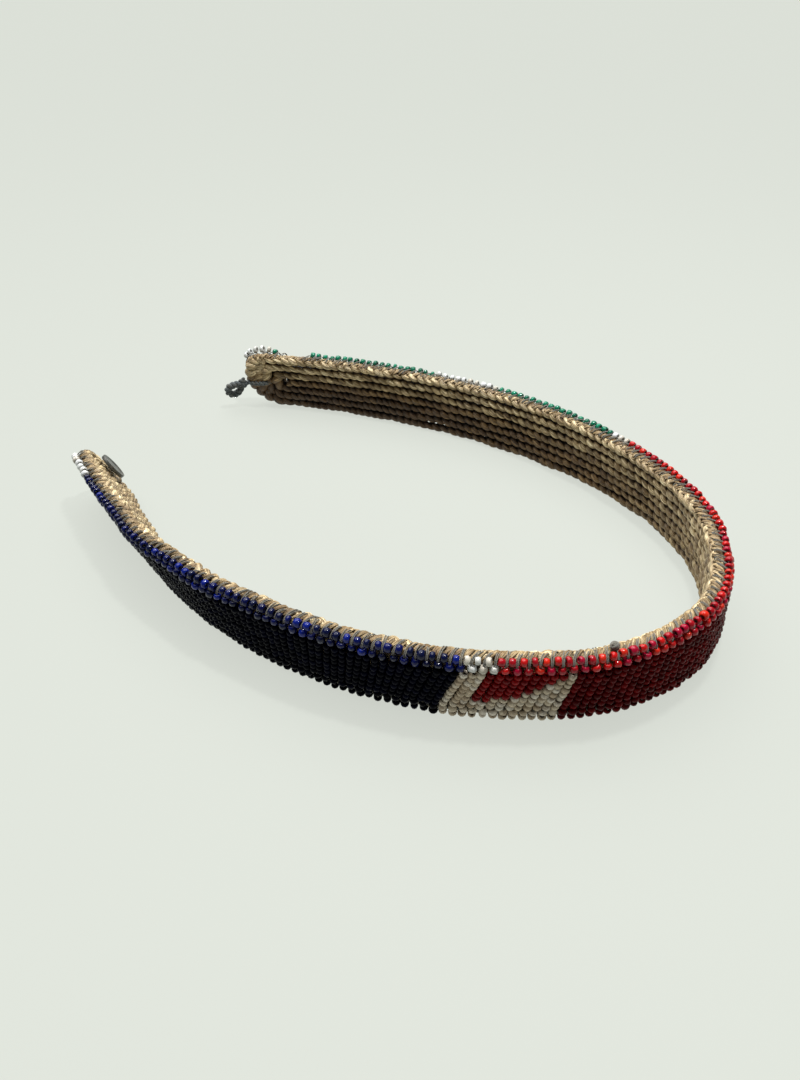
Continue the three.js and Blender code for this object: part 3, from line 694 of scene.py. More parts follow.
def turnTrack(radius, step):
    # once round the racetrack: along, height and the way outwards in that plane
    low, high = band["halfHeight"], band["length"] - band["halfHeight"]
    straight = high - low
    total = 2 * straight + 2 * math.pi * radius
    s = np.linspace(0, total, int(total / step) + 1)
    quarter = [straight, straight + math.pi * radius, 2 * straight + math.pi * radius]
    along = np.where(s < quarter[0], low + s, 0.0)
    height = np.where(s < quarter[0], radius, 0.0)
    lean = np.zeros_like(s)
    inside = (s >= quarter[0]) & (s < quarter[1])
    angle = (s - quarter[0]) / radius
    along = np.where(inside, high + radius * np.sin(angle), along)
    height = np.where(inside, radius * np.cos(angle), height)
    lean = np.where(inside, angle, lean)
    inside = (s >= quarter[1]) & (s < quarter[2])
    along = np.where(inside, high - (s - quarter[1]), along)
    height = np.where(inside, -radius, height)
    lean = np.where(inside, math.pi, lean)
    inside = s >= quarter[2]
    angle = (s - quarter[2]) / radius + math.pi
    along = np.where(inside, low + radius * np.sin(angle), along)
    height = np.where(inside, radius * np.cos(angle), height)
    lean = np.where(inside, angle, lean)
    return s, along, height, np.sin(lean), np.cos(lean)


def makeRopePiece(name, track, closedLoop, outermost, replaced, seed):
    s, along, height, awayAlong, awayHeight = track
    total = s[-1]
    turns = round(total / rope["twistLength"])
    fade = np.clip(np.minimum(s, total - s) / rope["seamFade"], 0, 1) if closedLoop else 1
    wave = rope["wanderWave"]
    wander = smoothNoise(s / total * round(total / wave) * wave, wave, seed, 2) * rope["wander"] * fade
    swell = 1 + smoothNoise(s, rope["swellWave"], seed + 1)[0] * rope["unevenness"] * fade
    drift = rope["twistDrift"] * smoothNoise(s, rope["twistWave"], seed + 2)[0] * fade
    twist = -2 * math.pi * turns * s / total + drift
    # the rows spread apart in the far tip's nose, and the rope swells to fill it
    fromTip = band["length"] - along
    spread = (1 - smoothStep(height, 6 * mm, 11 * mm)) * (1 - smoothStep(fromTip, 3 * mm, rope["noseLength"]))
    swell = swell * (1 + rope["noseSwell"] * spread)
    tube = makeTube(rope["sides"], len(s), not closedLoop)
    outward = bandAxes(along)[1]
    paths, radii = [], []
    for strand in range(2):
        phase = twist + math.pi * strand
        sideOut = np.cos(phase) * rope["twistOut"] * swell + wander[0]
        sideUp = np.sin(phase) * rope["twistUp"] * swell + wander[1]
        path = bandPoint(along + sideUp * awayAlong, sideOut, height + sideUp * awayHeight)
        if closedLoop:
            path[-1] = path[0]
        paths.append(path)
        own = smoothNoise(s, rope["plyWave"], seed + 5 + strand)[0] * rope["plyUnevenness"] * fade
        radii.append(rope["strandRadius"] * swell * (1 + own))
    piece = layRopeStrands(name, tube, paths, outward, radii, track, outermost, seed)
    if closedLoop:
        mergeSeam(piece)
    finishPiece(piece, dryGrass, replaced)


def layRopeStrands(name, tube, paths, cross, radii, track, outermost, seed):
    s, along, height, awayAlong, awayHeight = track
    ringIndex, angle, faces = tube
    middle = bandPoint(along, 0, height)
    tangentBand, outward, upward = bandAxes(along)
    away = tangentBand * awayAlong[:, None] + upward * awayHeight[:, None]
    # painted light and shade: darker on the lower rows and lighter on the upper ones, more so on the far half
    level = np.clip((height[ringIndex] + 10 * mm) / (20 * mm), 0, 1)
    far = smoothStep(along[ringIndex], 250 * mm, 460 * mm)
    shade = (1 - smoothStep(level, 0.22, 0.95)) * (0.22 + 0.78 * far)
    corners, allFaces, attributes = [], [], {"tint": [], "grooveShade": [], "fibre": [], "shade": []}
    for strand, (path, radius) in enumerate(zip(paths, radii)):
        first, second = pathFrame(path, cross, np.allclose(path[0], path[-1]))
        drift = s[ringIndex] / rope["ridgeDrift"]
        waves = 0.6 * np.sin(3 * angle + drift + strand) + 0.4 * np.sin(5 * angle - 1.7 * drift)
        reach = radius[ringIndex] * (1 + rope["ridges"] * waves)
        spoke = first[ringIndex] * np.cos(angle)[:, None] + second[ringIndex] * np.sin(angle)[:, None]
        place = path[ringIndex] + spoke * reach[:, None]
        # painted shade: a place deep between two rows, in the crevice, is darkened
        offset = place - middle[ringIndex]
        outShare = np.abs(np.sum(offset * outward[ringIndex], axis=1)) / rope["reachOut"]
        awayShare = np.sum(offset * away[ringIndex], axis=1) / rope["reachAway"] if outermost else 0
        exposed = np.clip(np.maximum(outShare, awayShare), 0, 1)
        corners.append(place)
        start = strand * len(ringIndex)
        allFaces.extend([tuple(corner + start for corner in face) for face in faces])
        tone = smoothNoise(s, rope["toneWave"], seed + 20 + strand)[0][ringIndex] * rope["toneSpread"]
        attributes["tint"].append(np.clip(0.5 + tone, 0, 1))
        attributes["shade"].append(shade)
        attributes["grooveShade"].append(1 - np.clip((exposed - 0.25) / 0.6, 0, 1))
        attributes["fibre"].append(np.stack([np.cos(angle), np.sin(angle), s[ringIndex] / mm], -1)
                                   + [strand * 11.0, seed * 3.0, strand * 400.0])
    joined = {label: np.concatenate(values) for label, values in attributes.items()}
    return pieceFromArrays(name, np.concatenate(corners), allFaces, joined)


def makeRope():
    runStart = band["halfHeight"] + 0.3 * mm
    along = np.arange(runStart, band["length"] - runStart, rope["step"])
    flat = np.zeros_like(along)
    run = (along - along[0], along, flat, flat, flat + 1)
    makeRopePiece("rope_run", run, False, False, ("near_rope_run", "far_rope_run"), 100)
    for turn in range(1, band["coilTurns"] + 1):
        track = turnTrack(turn * band["rowPitch"], rope["step"])
        replaced = (f"near_rope_turn_{turn}", f"far_rope_turn_{turn}")
        makeRopePiece(f"rope_turn_{turn}", track, True, turn == band["coilTurns"], replaced, 100 + 40 * turn)
    # a short spare end of rope that packs the far tip's nose, between the two outer turns
    radius = rope["packingTurn"] * band["rowPitch"]
    angle = np.radians(np.arange(*rope["packingArc"]))
    along = band["length"] - band["halfHeight"] + radius * np.sin(angle)
    track = (radius * (angle - angle[0]), along, radius * np.cos(angle), np.sin(angle), np.cos(angle))
    makeRopePiece("rope_packing", track, False, False, ("far_rope_turn_3",), 400)


makeRope()
print("rope coiled")


# ---------- the glass beads
beads = {
    "diameter": 2.42 * mm,
    "length": 1.84 * mm,
    "hole": 0.72 * mm,
    "sizeSpread": 0.07,
    "lengthSpread": 0.13,
    "topJitter": (0.12 * mm, 0.10 * mm, 0.14 * mm),     # each bead's stray along, out and up
    "secondJitter": (0.10 * mm, 0.08 * mm, 0.14 * mm),
    "pairJitter": (0.08 * mm, 0.08 * mm, 0.10 * mm),
    "stringJitter": (0.05 * mm, 0.10 * mm),
    "stringDrift": 0.10 * mm,
    "topSize": 1.06,
    "tipSize": 1.18,
    "pairSize": 1.03,
    "topOut": 2.9 * mm,
    "topSunk": 0.35 * mm,
    "tipRaise": 0.9 * mm,       # the white beads at the far tip stand beyond the rim
    "rowOut": 3.6 * mm,
    "secondRadius": 9.925 * mm,
    "pairRadii": (7.2 * mm, 9.35 * mm),
    "pairPitch": 2.5 * mm,
    "lowestIn": 0.35 * mm,      # the lowest row lies closer to the rope
    "pairArc": 56,
    "stringPitch": 2.2 * mm,
    "trail": [(-50, 0), (-22, 2.4), (0, 5.1), (30, 2.8), (60, 0)],   # how far a string's foot trails its head
    "stringStep": 1.74 * mm,
    "fieldTop": 8.35 * mm,
    "fieldBottom": 5.9 * mm,
    "stringOut": 3.5 * mm,
    "motifReds": (0, 0, 0, 7, 7, 6, 6, 5, 4, 3, 2, 1, 0),
}


def makeSeedBead():
    deselectAll()
    ringRadius = (beads["diameter"] + beads["hole"]) / 4
    wall = (beads["diameter"] - beads["hole"]) / 4
    bpy.ops.mesh.primitive_torus_add(major_segments=10, minor_segments=6, major_radius=ringRadius,
                                     minor_radius=wall, location=(0, 0, 0))
    seed = bpy.context.object
    bpy.ops.object.mode_set(mode="EDIT")
    bpy.ops.mesh.select_all(action="SELECT")
    bpy.ops.transform.resize(value=(1, 1, beads["length"] / 2 / wall), center_override=(0, 0, 0))
    bpy.ops.object.mode_set(mode="OBJECT")
    corners, faces = meshArrays(seed)
    bpy.data.objects.remove(seed)
    return corners, faces


seedBead = makeSeedBead()


def layBeads(name, places, holes, sides, widths, lengths, tints):
    # one seed bead copied to every place; holes give the way each hole runs
    corners, faces = seedBead
    count, size = len(places), len(corners)
    holes = holes / np.linalg.norm(holes, axis=1)[:, None]
    first = sides - holes * np.sum(sides * holes, axis=1)[:, None]
    first /= np.linalg.norm(first, axis=1)[:, None]
    second = np.cross(holes, first)
    placed = (corners[None, :, 0, None] * first[:, None] * widths[:, None, None]
              + corners[None, :, 1, None] * second[:, None] * widths[:, None, None]
              + corners[None, :, 2, None] * holes[:, None] * lengths[:, None, None])
    placed += places[:, None]
    allFaces = [tuple(corner + number * size for corner in face) for number in range(count) for face in faces]
    fromAxis = np.hypot(corners[:, 0], corners[:, 1])
    holeShare = np.clip(1 - (fromAxis - beads["hole"] / 2) / (0.45 * mm), 0, 1)
    local = corners / mm
    attributes = {
        "tint": np.repeat(tints, size),
        "hole": np.tile(holeShare, count),
        "local": np.tile(local, (count, 1)) + np.repeat(rng.uniform(0, 40, (count, 3)), size, axis=0),
    }
    return pieceFromArrays(name, placed.reshape(-1, 3), allFaces, attributes)


def beadSizes(count):
    widths = 1 + rng.normal(0, beads["sizeSpread"], count).clip(-0.14, 0.14)
    lengths = 1 + rng.normal(0, beads["lengthSpread"], count).clip(-0.28, 0.22)
    return widths, lengths, rng.uniform(0, 1, count)


def wobble(count, amount):
    return rng.normal(0, amount, (count, 3)).clip(-2 * amount, 2 * amount)


def topZones():
    zones, at = [], firstMark
    for colour, count in band["beadZones"]:
        zones.append((colour, at, at + count * beadPitch, count))
        at += count * beadPitch
    return zones


zones = topZones()
zoneNames = ["tip_white", "blue", "white_near", "red", "white_middle", "green_long", "white_far",
             "green_short", "gap", "green_last", "tip_white_far"]
zoneSpan = {name: (start, end) for name, (colour, start, end, count) in zip(zoneNames, zones)}
zoneBody = {name: "near_half" if name in ("tip_white", "blue", "white_near", "red_wedge") else "far_half"
            for name in zoneNames + ["red_wedge"]}
zoneBody["red"] = None
print("bead pitch", round(beadPitch / mm, 3))


def nodesFor(row, name):
    return (f"{row}_red_near", f"{row}_red_far") if name == "red" else (f"{row}_{name}",)


def addTopRow():
    for name, (colour, start, end, count) in zip(zoneNames, zones):
        if colour == "gap":
            continue
        strayAlong, strayOut, strayUp = beads["topJitter"]
        marks = start + (np.arange(count) + 0.5) * beadPitch + rng.normal(0, strayAlong, count)
        raised = beads["tipRaise"] * (name == "tip_white_far")
        along, height, turn = railPlace(marks, band["topRadius"] + raised)
        tangent, outward, upward = bandAxes(along)
        sunk = beads["topSunk"] * smoothStep(along, 290 * mm, 380 * mm) * (name != "tip_white_far")
        places = bandPoint(along, beads["topOut"] + rng.normal(0, strayOut, count),
                           height - sunk + rng.normal(0, strayUp, count))
        holes = tangent * np.cos(turn)[:, None] + upward * np.sin(turn)[:, None] + wobble(count, 0.11)
        widths, lengths, tints = beadSizes(count)
        widths *= beads["tipSize"] if name == "tip_white_far" else beads["topSize"]
        piece = layBeads(f"top_beads_{name}", places, holes, outward, widths, lengths, tints)
        finishPiece(piece, glass[colour], nodesFor("top_row", name), zoneBody[name])


def addSecondRow():
    for name, (colour, start, end, count) in zip(zoneNames, zones):
        if colour == "gap" or name == "green_last":
            continue
        marks = start + (np.arange(count) + (0.98 if name != "tip_white_far" else 0.4)) * beadPitch
        strayAlong, strayOut, strayUp = beads["secondJitter"]
        marks += rng.normal(0, strayAlong, count)
        along, height, turn = railPlace(marks, beads["secondRadius"])
        tangent, outward, upward = bandAxes(along)
        places = bandPoint(along, beads["rowOut"] + rng.normal(0, strayOut, count),
                           height + rng.normal(0, strayUp, count))
        away = upward * np.cos(turn)[:, None] - tangent * np.sin(turn)[:, None]
        holes = away - outward * 0.45 + wobble(count, 0.14)
        widths, lengths, tints = beadSizes(count)
        piece = layBeads(f"second_beads_{name}", places, holes, tangent, widths, lengths, tints)
        finishPiece(piece, glass[colour], nodesFor("second_row", name), zoneBody[name])


def trailAt(mark):
    # how far a string's foot lies behind its head, by where its head is along the top row
    places, reach = zip(*beads["trail"])
    return np.interp((mark - zoneSpan["white_near"][0]) / mm, places, reach) * mm


pairThreads = []


def addLowerPairs():
    arc = math.radians(beads["pairArc"]) * band["topRadius"]
    strayAlong, strayOut, strayUp = beads["pairJitter"]
    width = len(beads["motifReds"]) * beads["stringPitch"]
    motifStart = zoneSpan["white_near"][0]
    ends = {
        "tip_white": zoneSpan["tip_white"][1], "blue": motifStart - trailAt(motifStart),
        "white_near": motifStart + width - trailAt(motifStart + width),
        "red": zoneSpan["green_long"][0] - width, "white_middle": zoneSpan["green_long"][0],
        "green_long": zoneSpan["white_far"][0], "white_far": zoneSpan["white_far"][1],
        "green_short": straightLength + arc,
    }
    # the lower pairs take the darker copies of each glass: painted shade
    shades = {"white": "shadedWhite", "blue": "shadedBlue", "red": "shadedMaroon", "green": "shadedGreen"}
    at = -arc
    for name, end in ends.items():
        count = round((end - at) / beads["pairPitch"])
        pitch = (end - at) / count
        marks = at + (np.arange(count) + 0.5) * pitch
        colour = "white" if "white" in name else name.split("_")[0]
        places, holes, sides = [], [], []
        for row, radius in enumerate(beads["pairRadii"]):
            stray = rng.normal(0, strayAlong, count)
            along, height, turn = railPlace(marks + stray, radius, -1)
            tangent, outward, upward = bandAxes(along)
            out = beads["rowOut"] - beads["lowestIn"] * row + rng.normal(0, strayOut, count)
            places.append(bandPoint(along, out, height + rng.normal(0, strayUp, count)))
            away = upward * np.cos(turn)[:, None] + tangent * np.sin(turn)[:, None]
            holes.append(away + outward * (-0.45, 0.35)[row] + wobble(count, 0.16))
            sides.append(tangent)
        widths, lengths, tints = beadSizes(2 * count)
        pairThreads.extend(zip(places[0], places[1], sides[0], outward))
        piece = layBeads(f"lower_beads_{name}", np.concatenate(places), np.concatenate(holes),
                         np.concatenate(sides), widths * beads["pairSize"], lengths, tints)
        replaced = nodesFor("lower_pairs", name)
        finishPiece(piece, glass[shades[colour]], replaced, zoneBody[name])
        at = end


def roundedRoom(along, radius):
    fromTip = np.minimum(along, band["length"] - along)
    past = np.maximum(0, band["halfHeight"] - fromTip)
    return np.sqrt(np.maximum((1 * mm) ** 2, radius * radius - past * past))


def stringPlaces(head, slant):
    # the beads of one slanted string, from its head down
    top, bottom = beads["fieldTop"], beads["fieldBottom"]
    upper = min(top, float(roundedRoom(np.array(head), top)))
    lower = -min(bottom, float(roundedRoom(np.array(head - slant), bottom)))
    reach = upper - lower
    tilt = slant / (top + bottom)
    length = reach * math.hypot(1, tilt)
    count = max(1, round(length / beads["stringStep"]))
    share = (np.arange(count) + 0.5) / count
    height = upper - reach * share
    along = head - tilt * (top - height)
    return along, height, tilt, length / count


def addField(name, colour, strings, body, replaced):
    # strings: a list of (head, slant, first bead, last bead)
    gathered = [[] for i in range(4)]
    for head, slant, firstBead, lastBead in strings:
        along, height, tilt, step = stringPlaces(head, slant)
        along, height = along[firstBead:lastBead], height[firstBead:lastBead]
        if len(along) == 0:
            continue
        count = len(along)
        drift = rng.normal(0, beads["stringDrift"])
        strayAlong, strayOut = beads["stringJitter"]
        along = along + drift + rng.normal(0, strayAlong, count)
        tangent, outward, upward = bandAxes(along)
        places = bandPoint(along, beads["stringOut"] + rng.normal(0, strayOut, count), height)
        holes = upward + tangent * tilt + wobble(count, 0.09)
        for store, values in zip(gathered, (places, holes, tangent, np.full(count, step))):
            store.append(values)
    places, holes, sides, steps = [np.concatenate(store) for store in gathered]
    count = len(places)
    widths, lengths, tints = beadSizes(count)
    widths = 1 + (widths - 1) * 0.7
    lengths = steps / beads["length"] * (1.02 + (lengths - 1) * 0.35)
    piece = layBeads(f"string_beads_{name}", places, holes, sides, widths, lengths, tints)
    finishPiece(piece, glass[colour], replaced, body)


def spacedHeads(start, end):
    count = round((end - start) / beads["stringPitch"])
    return start + (np.arange(count) + 0.5) * (end - start) / count


def addFields():
    shift = band["halfHeight"]
    pitch, reds = beads["stringPitch"], beads["motifReds"]
    whole = 99
    span = {name: (start + shift, end + shift) for name, (start, end) in zoneSpan.items()}
    tipStart = band["halfHeight"] - beads["fieldTop"] + 1 * mm
    motifStart = span["white_near"][0]
    width = len(reds) * pitch
    motifHeads = motifStart + (np.arange(len(reds)) + 0.5) * pitch
    middleStart = span["green_long"][0] - width
    middleHeads = middleStart + (np.arange(len(reds)) + 0.5) * pitch

    def strings(heads, firsts=0, lasts=whole):
        trails = trailAt(np.asarray(heads) - shift)
        firsts, lasts = np.broadcast_to(firsts, len(heads)), np.broadcast_to(lasts, len(heads))
        return list(zip(heads, trails, firsts, lasts))

    # the fields on the outer face take the darker copies of the glass: painted shade
    addField("tip_white", "shadedWhite", strings(spacedHeads(tipStart, span["tip_white"][1])),
             "near_half", ("field_tip_white",))
    addField("blue", "shadedBlue", strings(spacedHeads(*span["blue"])), "near_half", ("field_blue",))
    addField("white_near", "shadedWhite", strings(motifHeads, firsts=reds), "near_half",
             ("field_white_near",))
    addField("red_wedge", "shadedWedgeRed", strings(motifHeads, lasts=reds), "near_half",
             ("field_red_wedge",))
    addField("red", "shadedMaroon", strings(spacedHeads(motifStart + width, middleStart)), None,
             ("field_red_near", "field_red_far"))
    addField("white_middle", "shadedWhite", strings(middleHeads), "far_half",
             ("field_white_middle",))
    addField("green_long", "shadedGreen", strings(spacedHeads(*span["green_long"])), "far_half",
             ("field_green_long",))
    addField("white_far", "shadedWhite", strings(spacedHeads(*span["white_far"])), "far_half",
             ("field_white_far",))
    greenEnd = span["green_last"][1]
    greenHeads = spacedHeads(span["green_short"][0], greenEnd)
    addField("green_short", "shadedGreen", strings(greenHeads), "far_half",
             ("field_green_short",))
    addField("tip_white_far", "shadedWhite", strings(spacedHeads(greenEnd, band["length"] - tipStart)),
             "far_half", ("field_tip_white_far",))


addTopRow()
addSecondRow()
addLowerPairs()
addFields()
print("beads strung")


# ---------- threads over the rim, the knot and the loose end
threads = {
    "radius": 0.145 * mm,
    "pairGap": 0.36 * mm,
    "throughBeads": 0.42 * mm,
    "betweenPairs": 0.6 * mm,
    "behindPairs": 0.7 * mm,
    "sides": 6,
    "rings": 11,
    "knotAt": 211 * mm,
    "tuftAt": 476 * mm,
}


def addRimThreads():
    # pairs of thread from the second row's holes, up between the top beads and over the rim
    tube = makeTube(threads["sides"], threads["rings"])
    paths, crosses, radii = [], [], []
    gapStart, gapEnd = zoneSpan["gap"]
    for number in range(-1, beadCount):
        mark = firstMark + (number + 0.98) * beadPitch + rng.normal(0, 0.12 * mm)
        if gapStart < mark < gapEnd - beadPitch or (mark > gapEnd + beadPitch and number % 2):
            continue
        slant = rng.normal(0.9, 0.45)
        length = rng.uniform(0.8, 1.35)
        spread = rng.choice([0.2, 0.6, 1.6]) * rng.uniform(0.7, 1.3)
        for strand in (-1, 1):
            side = strand * threads["pairGap"] / 2
            shape = [  # along, out, up from the band's middle line
                (0.0, 3.6, 10.6), (0.0, 3.45, 11.4), (0.1, 2.6, 12.2), (0.35, 1.7, 12.55),
                (0.75, 0.9, 12.65), (1.2, 0.1, 12.5), (1.4, -0.3, 11.7),
            ]
            points = []
            for along, out, up in shape:
                past = along * slant * mm + side * (1 + along * spread)
                at, height = railPlace(np.array([mark + past]), up * mm)[:2]
                outPlace = 2.6 + (out - 2.6) * length if out < 2.6 else out
                points.append(bandPoint(at, outPlace * mm, height)[0])
            path = roundCurve(points, threads["rings"])
            paths.append(path)
            crosses.append(bandAxes(np.full(len(path), band["halfHeight"] + mark))[0])
            radii.append(threads["radius"] * rng.uniform(0.85, 1.2))
    behind = []
    for upper, lower, side, outward in pairThreads:
        down = (lower - upper) * rng.uniform(0.9, 1.1)
        points = [upper - down * 0.5, upper, (upper + lower) / 2, lower, lower + down * 0.45]
        paths.append(roundCurve(points, threads["rings"]))
        crosses.append(np.tile(side, (threads["rings"], 1)))
        radii.append(threads["throughBeads"])
        behind.append(upper * 0.4 + lower * 0.6 - outward * threads["behindPairs"])
    # and a thread along the band, behind the pairs
    for (upper, lower, side, outward), start, end in zip(pairThreads, behind, behind[1:]):
        paths.append(roundCurve([start, end], threads["rings"]))
        crosses.append(np.tile(lower - upper, (threads["rings"], 1)))
        radii.append(threads["betweenPairs"])
    piece = layTubes("rim_threads", tube, paths, crosses, radii)
    finishPiece(piece, greyCotton, ("near_rim_stitching", "far_rim_stitching"))


addRimThreads()


binding = {
    "perBead": 2.3,             # straws to each bead of the top row
    "width": (0.30 * mm, 0.80 * mm),
    "flatness": 0.38,
    "shade": 0.38,
    "run": 3.4 * mm,            # how far a straw runs along the rim as it crosses it
    "sides": 8,
    "rings": 9,
}


def addBinding():
    # flat straws sewn slantwise over the top of the rope
    tube = makeTube(binding["sides"], binding["rings"])
    first = -0.95 * edgeArcLength
    last = straightLength - first
    count = round((last - first) / beadPitch * binding["perBead"])
    paths, crosses, radii = [], [], []
    share = np.linspace(0, 1, binding["rings"])
    taper = 0.25 + 0.75 * np.sin(math.pi * share) ** 0.6
    for number in range(count):
        mark = first + (number + rng.uniform(-0.25, 0.25)) * (last - first) / count
        run = binding["run"] * rng.uniform(0.55, 1.35)
        proud = rng.uniform(-0.2, 0.18)
        inside = rng.uniform(-1.7, -0.7)
        shape = [(0.0, 2.0, 11.2), (0.22, 1.4, 11.85 + proud), (0.5, 0.3, 12.15 + proud),
                 (0.78, -0.9, 11.85 + proud), (1.0, inside, 10.9)]
        points = []
        for along, out, up in shape:
            at, height = railPlace(np.array([mark + along * run]), up * mm)[:2]
            points.append(bandPoint(at, out * mm, height)[0])
        paths.append(roundCurve(points, binding["rings"]))
        tangent, outward = bandAxes(np.full(binding["rings"], band["halfHeight"] + mark))[:2]
        crosses.append(tangent + outward * 0.5)
        radii.append(rng.uniform(*binding["width"]) * taper)
    piece = layTubes("rim_binding", tube, paths, crosses, radii, binding["flatness"], binding["shade"])
    finishPiece(piece, dryGrass, ("near_rope_turn_3", "far_rope_turn_3"))


addBinding()


def addKnot():
    # a small hard lump of thread wound over itself, with two cut ends
    along = np.array([threads["knotAt"]])
    centre = bandPoint(along, 0.4 * mm, 13.3 * mm)[0]
    tangent, outward, upward = [axis[0] for axis in bandAxes(along)]
    rings = 40
    tube = makeTube(8, rings)
    turn = np.linspace(0, 2 * math.pi, rings)
    axes = np.stack([tangent, outward, upward])
    paths, crosses, radii = [], [], []
    for number in range(9):
        pole = np.array([rng.normal(), rng.normal(), rng.normal()])
        pole /= np.linalg.norm(pole)
        side = np.cross(pole, (0.3, 0.5, 0.8))
        side /= np.linalg.norm(side)
        other = np.cross(pole, side)
        size = rng.uniform(0.6, 0.95) * mm
        ring = side * np.cos(turn)[:, None] + other * np.sin(turn)[:, None]
        shape = (ring + pole * rng.uniform(-0.35, 0.35)) * size * [1.25, 1.0, 0.85]
        paths.append(centre + shape @ axes)
        crosses.append(np.tile(pole @ axes, (rings, 1)))
        radii.append(0.34 * mm)
    for way in ((-1.0, 0.2, 0.25), (0.9, -0.5, 0.1)):
        step = (np.array(way) * mm) @ axes
        points = [centre, centre + step * 0.9, centre + step * 1.7 - upward * 0.5 * mm]
        paths.append(roundCurve(points, rings))
        crosses.append(np.tile(upward * 0.9 + tangent * 0.2, (rings, 1)))
        radii.append(0.17 * mm)
    piece = layTubes("tied_knot", tube, paths, crosses, radii)
    finishPiece(piece, greyCotton, ("thread_knot",), "near_half")


def addTuft():
    along = threads["tuftAt"]
    centre = bandPoint(np.array([along]), -0.2 * mm, 12.6 * mm)[0]
    tangent, outward, upward = [axis[0] for axis in bandAxes(np.array([along]))]
    rings = 24
    tube = makeTube(5, rings)
    paths, crosses, radii = [], [], []
    for number in range(9):
        reach = rng.uniform(-3.2, 3.2) * mm
        bow = rng.uniform(0.3, 0.9) * mm
        side = rng.uniform(-0.5, 0.5) * mm
        points = []
        for share in (0, 0.33, 0.66, 1):
            rise = bow * math.sin(math.pi * share)
            points.append(centre + tangent * (reach * share - 0.2 * reach) + upward * rise
                          + outward * (side * share * 2))
        paths.append(roundCurve(points, rings))
        crosses.append(np.tile(outward + upward * 0.2, (rings, 1)))
        radii.append(rng.uniform(0.09, 0.16) * mm)
    piece = layTubes("loose_thread", tube, paths, crosses, radii)
    finishPiece(piece, greyCotton, ("thread_tuft",), "far_half")


addKnot()
addTuft()
print("threads sewn")


# ---------- the closing loop of twisted cord, and what holds it
loop = {
    "length": 9 * mm,
    "width": 7.5 * mm,
    "cord": 2.2 * mm,
    "thickest": 2.7 * mm,
    "thin": 1.18 * mm,          # half the twisted cord at its ends, and what its middle adds
    "swell": 0.36 * mm,
    "droop": 30,
    "turnIn": 25,
    "anchorLength": 6 * mm,
    "ropeHalf": 2.1 * mm,
    "gap": 0.3 * mm,
    "twistLength": 3.4 * mm,
}


def twistCord(path, cross, radius, turnLength, phase=0.0):
    # two plies wound round each other along a path
    first, second = pathFrame(path, cross)
    plies = []
    for ply in range(2):
        turn = 2 * math.pi * stepsAlong(path) / turnLength + math.pi * ply + phase
        offset = first * np.cos(turn)[:, None] + second * np.sin(turn)[:, None]
        plies.append(path + offset * (radius * 0.46)[:, None])
    return plies


def addLoop():
    out = -(loop["ropeHalf"] + loop["gap"] + loop["cord"] / 2)
    ballAt = band["length"] + loop["gap"] + loop["cord"] / 2
    origin = bandPoint(np.array([ballAt]), out, 0)[0]
    tangent, outward, upward = [axis[0] for axis in bandAxes(np.array([ballAt]))]
    droop, turnIn = math.radians(loop["droop"]), math.radians(loop["turnIn"])
    # the loop's own axes after it droops and turns in
    level = math.cos(droop)
    ahead = np.array([level * math.cos(turnIn), -level * math.sin(turnIn), -math.sin(droop)])
    aside = np.array([math.sin(turnIn), math.cos(turnIn), 0])
    over = np.cross(ahead, aside)
    frameAxes = np.stack([tangent, outward, upward])
    ahead, aside, over = [way @ frameAxes for way in (ahead, aside, over)]
    ringRadius = (loop["width"] - loop["thickest"]) / 2 / mm
    ringCentre = (loop["length"] - loop["cord"] / 2) / mm - ringRadius
    points = [(-1.0, 0.0, 0.85), (0.6, 0.35, 0.95), (1.7, 0.2, -0.95)]
    ring = []
    for angle in np.radians([125, 90, 45, 0, -45, -90, -125]):
        ring.append((ringCentre + ringRadius * math.cos(angle), 0.2 * math.cos(angle),
                     -ringRadius * math.sin(angle)))
    back = [(1.7, -0.3, 0.95), (0.6, -0.35, -0.85), (-1.0, 0.0, -0.85)]
    points = np.array(points + ring + back) * mm
    places = origin + points[:, :1] * ahead + points[:, 1:2] * aside + points[:, 2:3] * over
    rings = 150
    path = roundCurve(places, rings)
    share = np.linspace(0, 1, rings)
    swell = np.clip(np.minimum(share, 1 - share) / 0.26, 0, 1)
    radius = loop["thin"] + loop["swell"] * swell
    plies = twistCord(path, np.tile(over, (rings, 1)), radius, loop["twistLength"])
    tube = makeTube(10, rings)
    piece = layTubes("cord_loop", tube, plies, [np.tile(over, (rings, 1))] * 2, [radius * 0.58] * 2)
    finishPiece(piece, loopCotton, ("closure_loop",), "closure_loop")


def addAnchor():
    # a stitch of the same cord through the rope, which the loop grows from
    out = -(loop["ropeHalf"] + loop["gap"] + loop["cord"] / 2) / mm
    start = band["length"] - loop["anchorLength"]
    points = [(-0.2, out + 2.2, -0.2), (0.5, out + 0.7, 0.1), (1.8, out - 0.05, 0.15), (3.6, out, -0.1),
              (5.1, out + 0.1, 0.0), (5.75, out + 0.35, 0.05)]
    shape = np.array([bandPoint(np.array([start + along * mm]), side * mm, up * mm)[0]
                      for along, side, up in points])
    rings = 70
    path = roundCurve(shape, rings)
    upward = bandAxes(np.full(rings, start))[2]
    radius = np.full(rings, 1.0 * mm)
    plies = twistCord(path, upward, radius, loop["twistLength"], 0.8)
    tube = makeTube(10, rings)
    piece = layTubes("anchor_stitch", tube, plies, [upward] * 2, [radius * 0.56] * 2)
    finishPiece(piece, loopCotton, ("loop_anchor",), "far_half")


addLoop()
addAnchor()


# ---------- the button inside the near tip
button = {
    "diameter": 10 * mm,
    "thickness": 1.4 * mm,
    "fromTip": 10 * mm,
    "belowRim": 6 * mm,
    "shankDiameter": 2 * mm,
    "shankLength": 0.5 * mm,
}


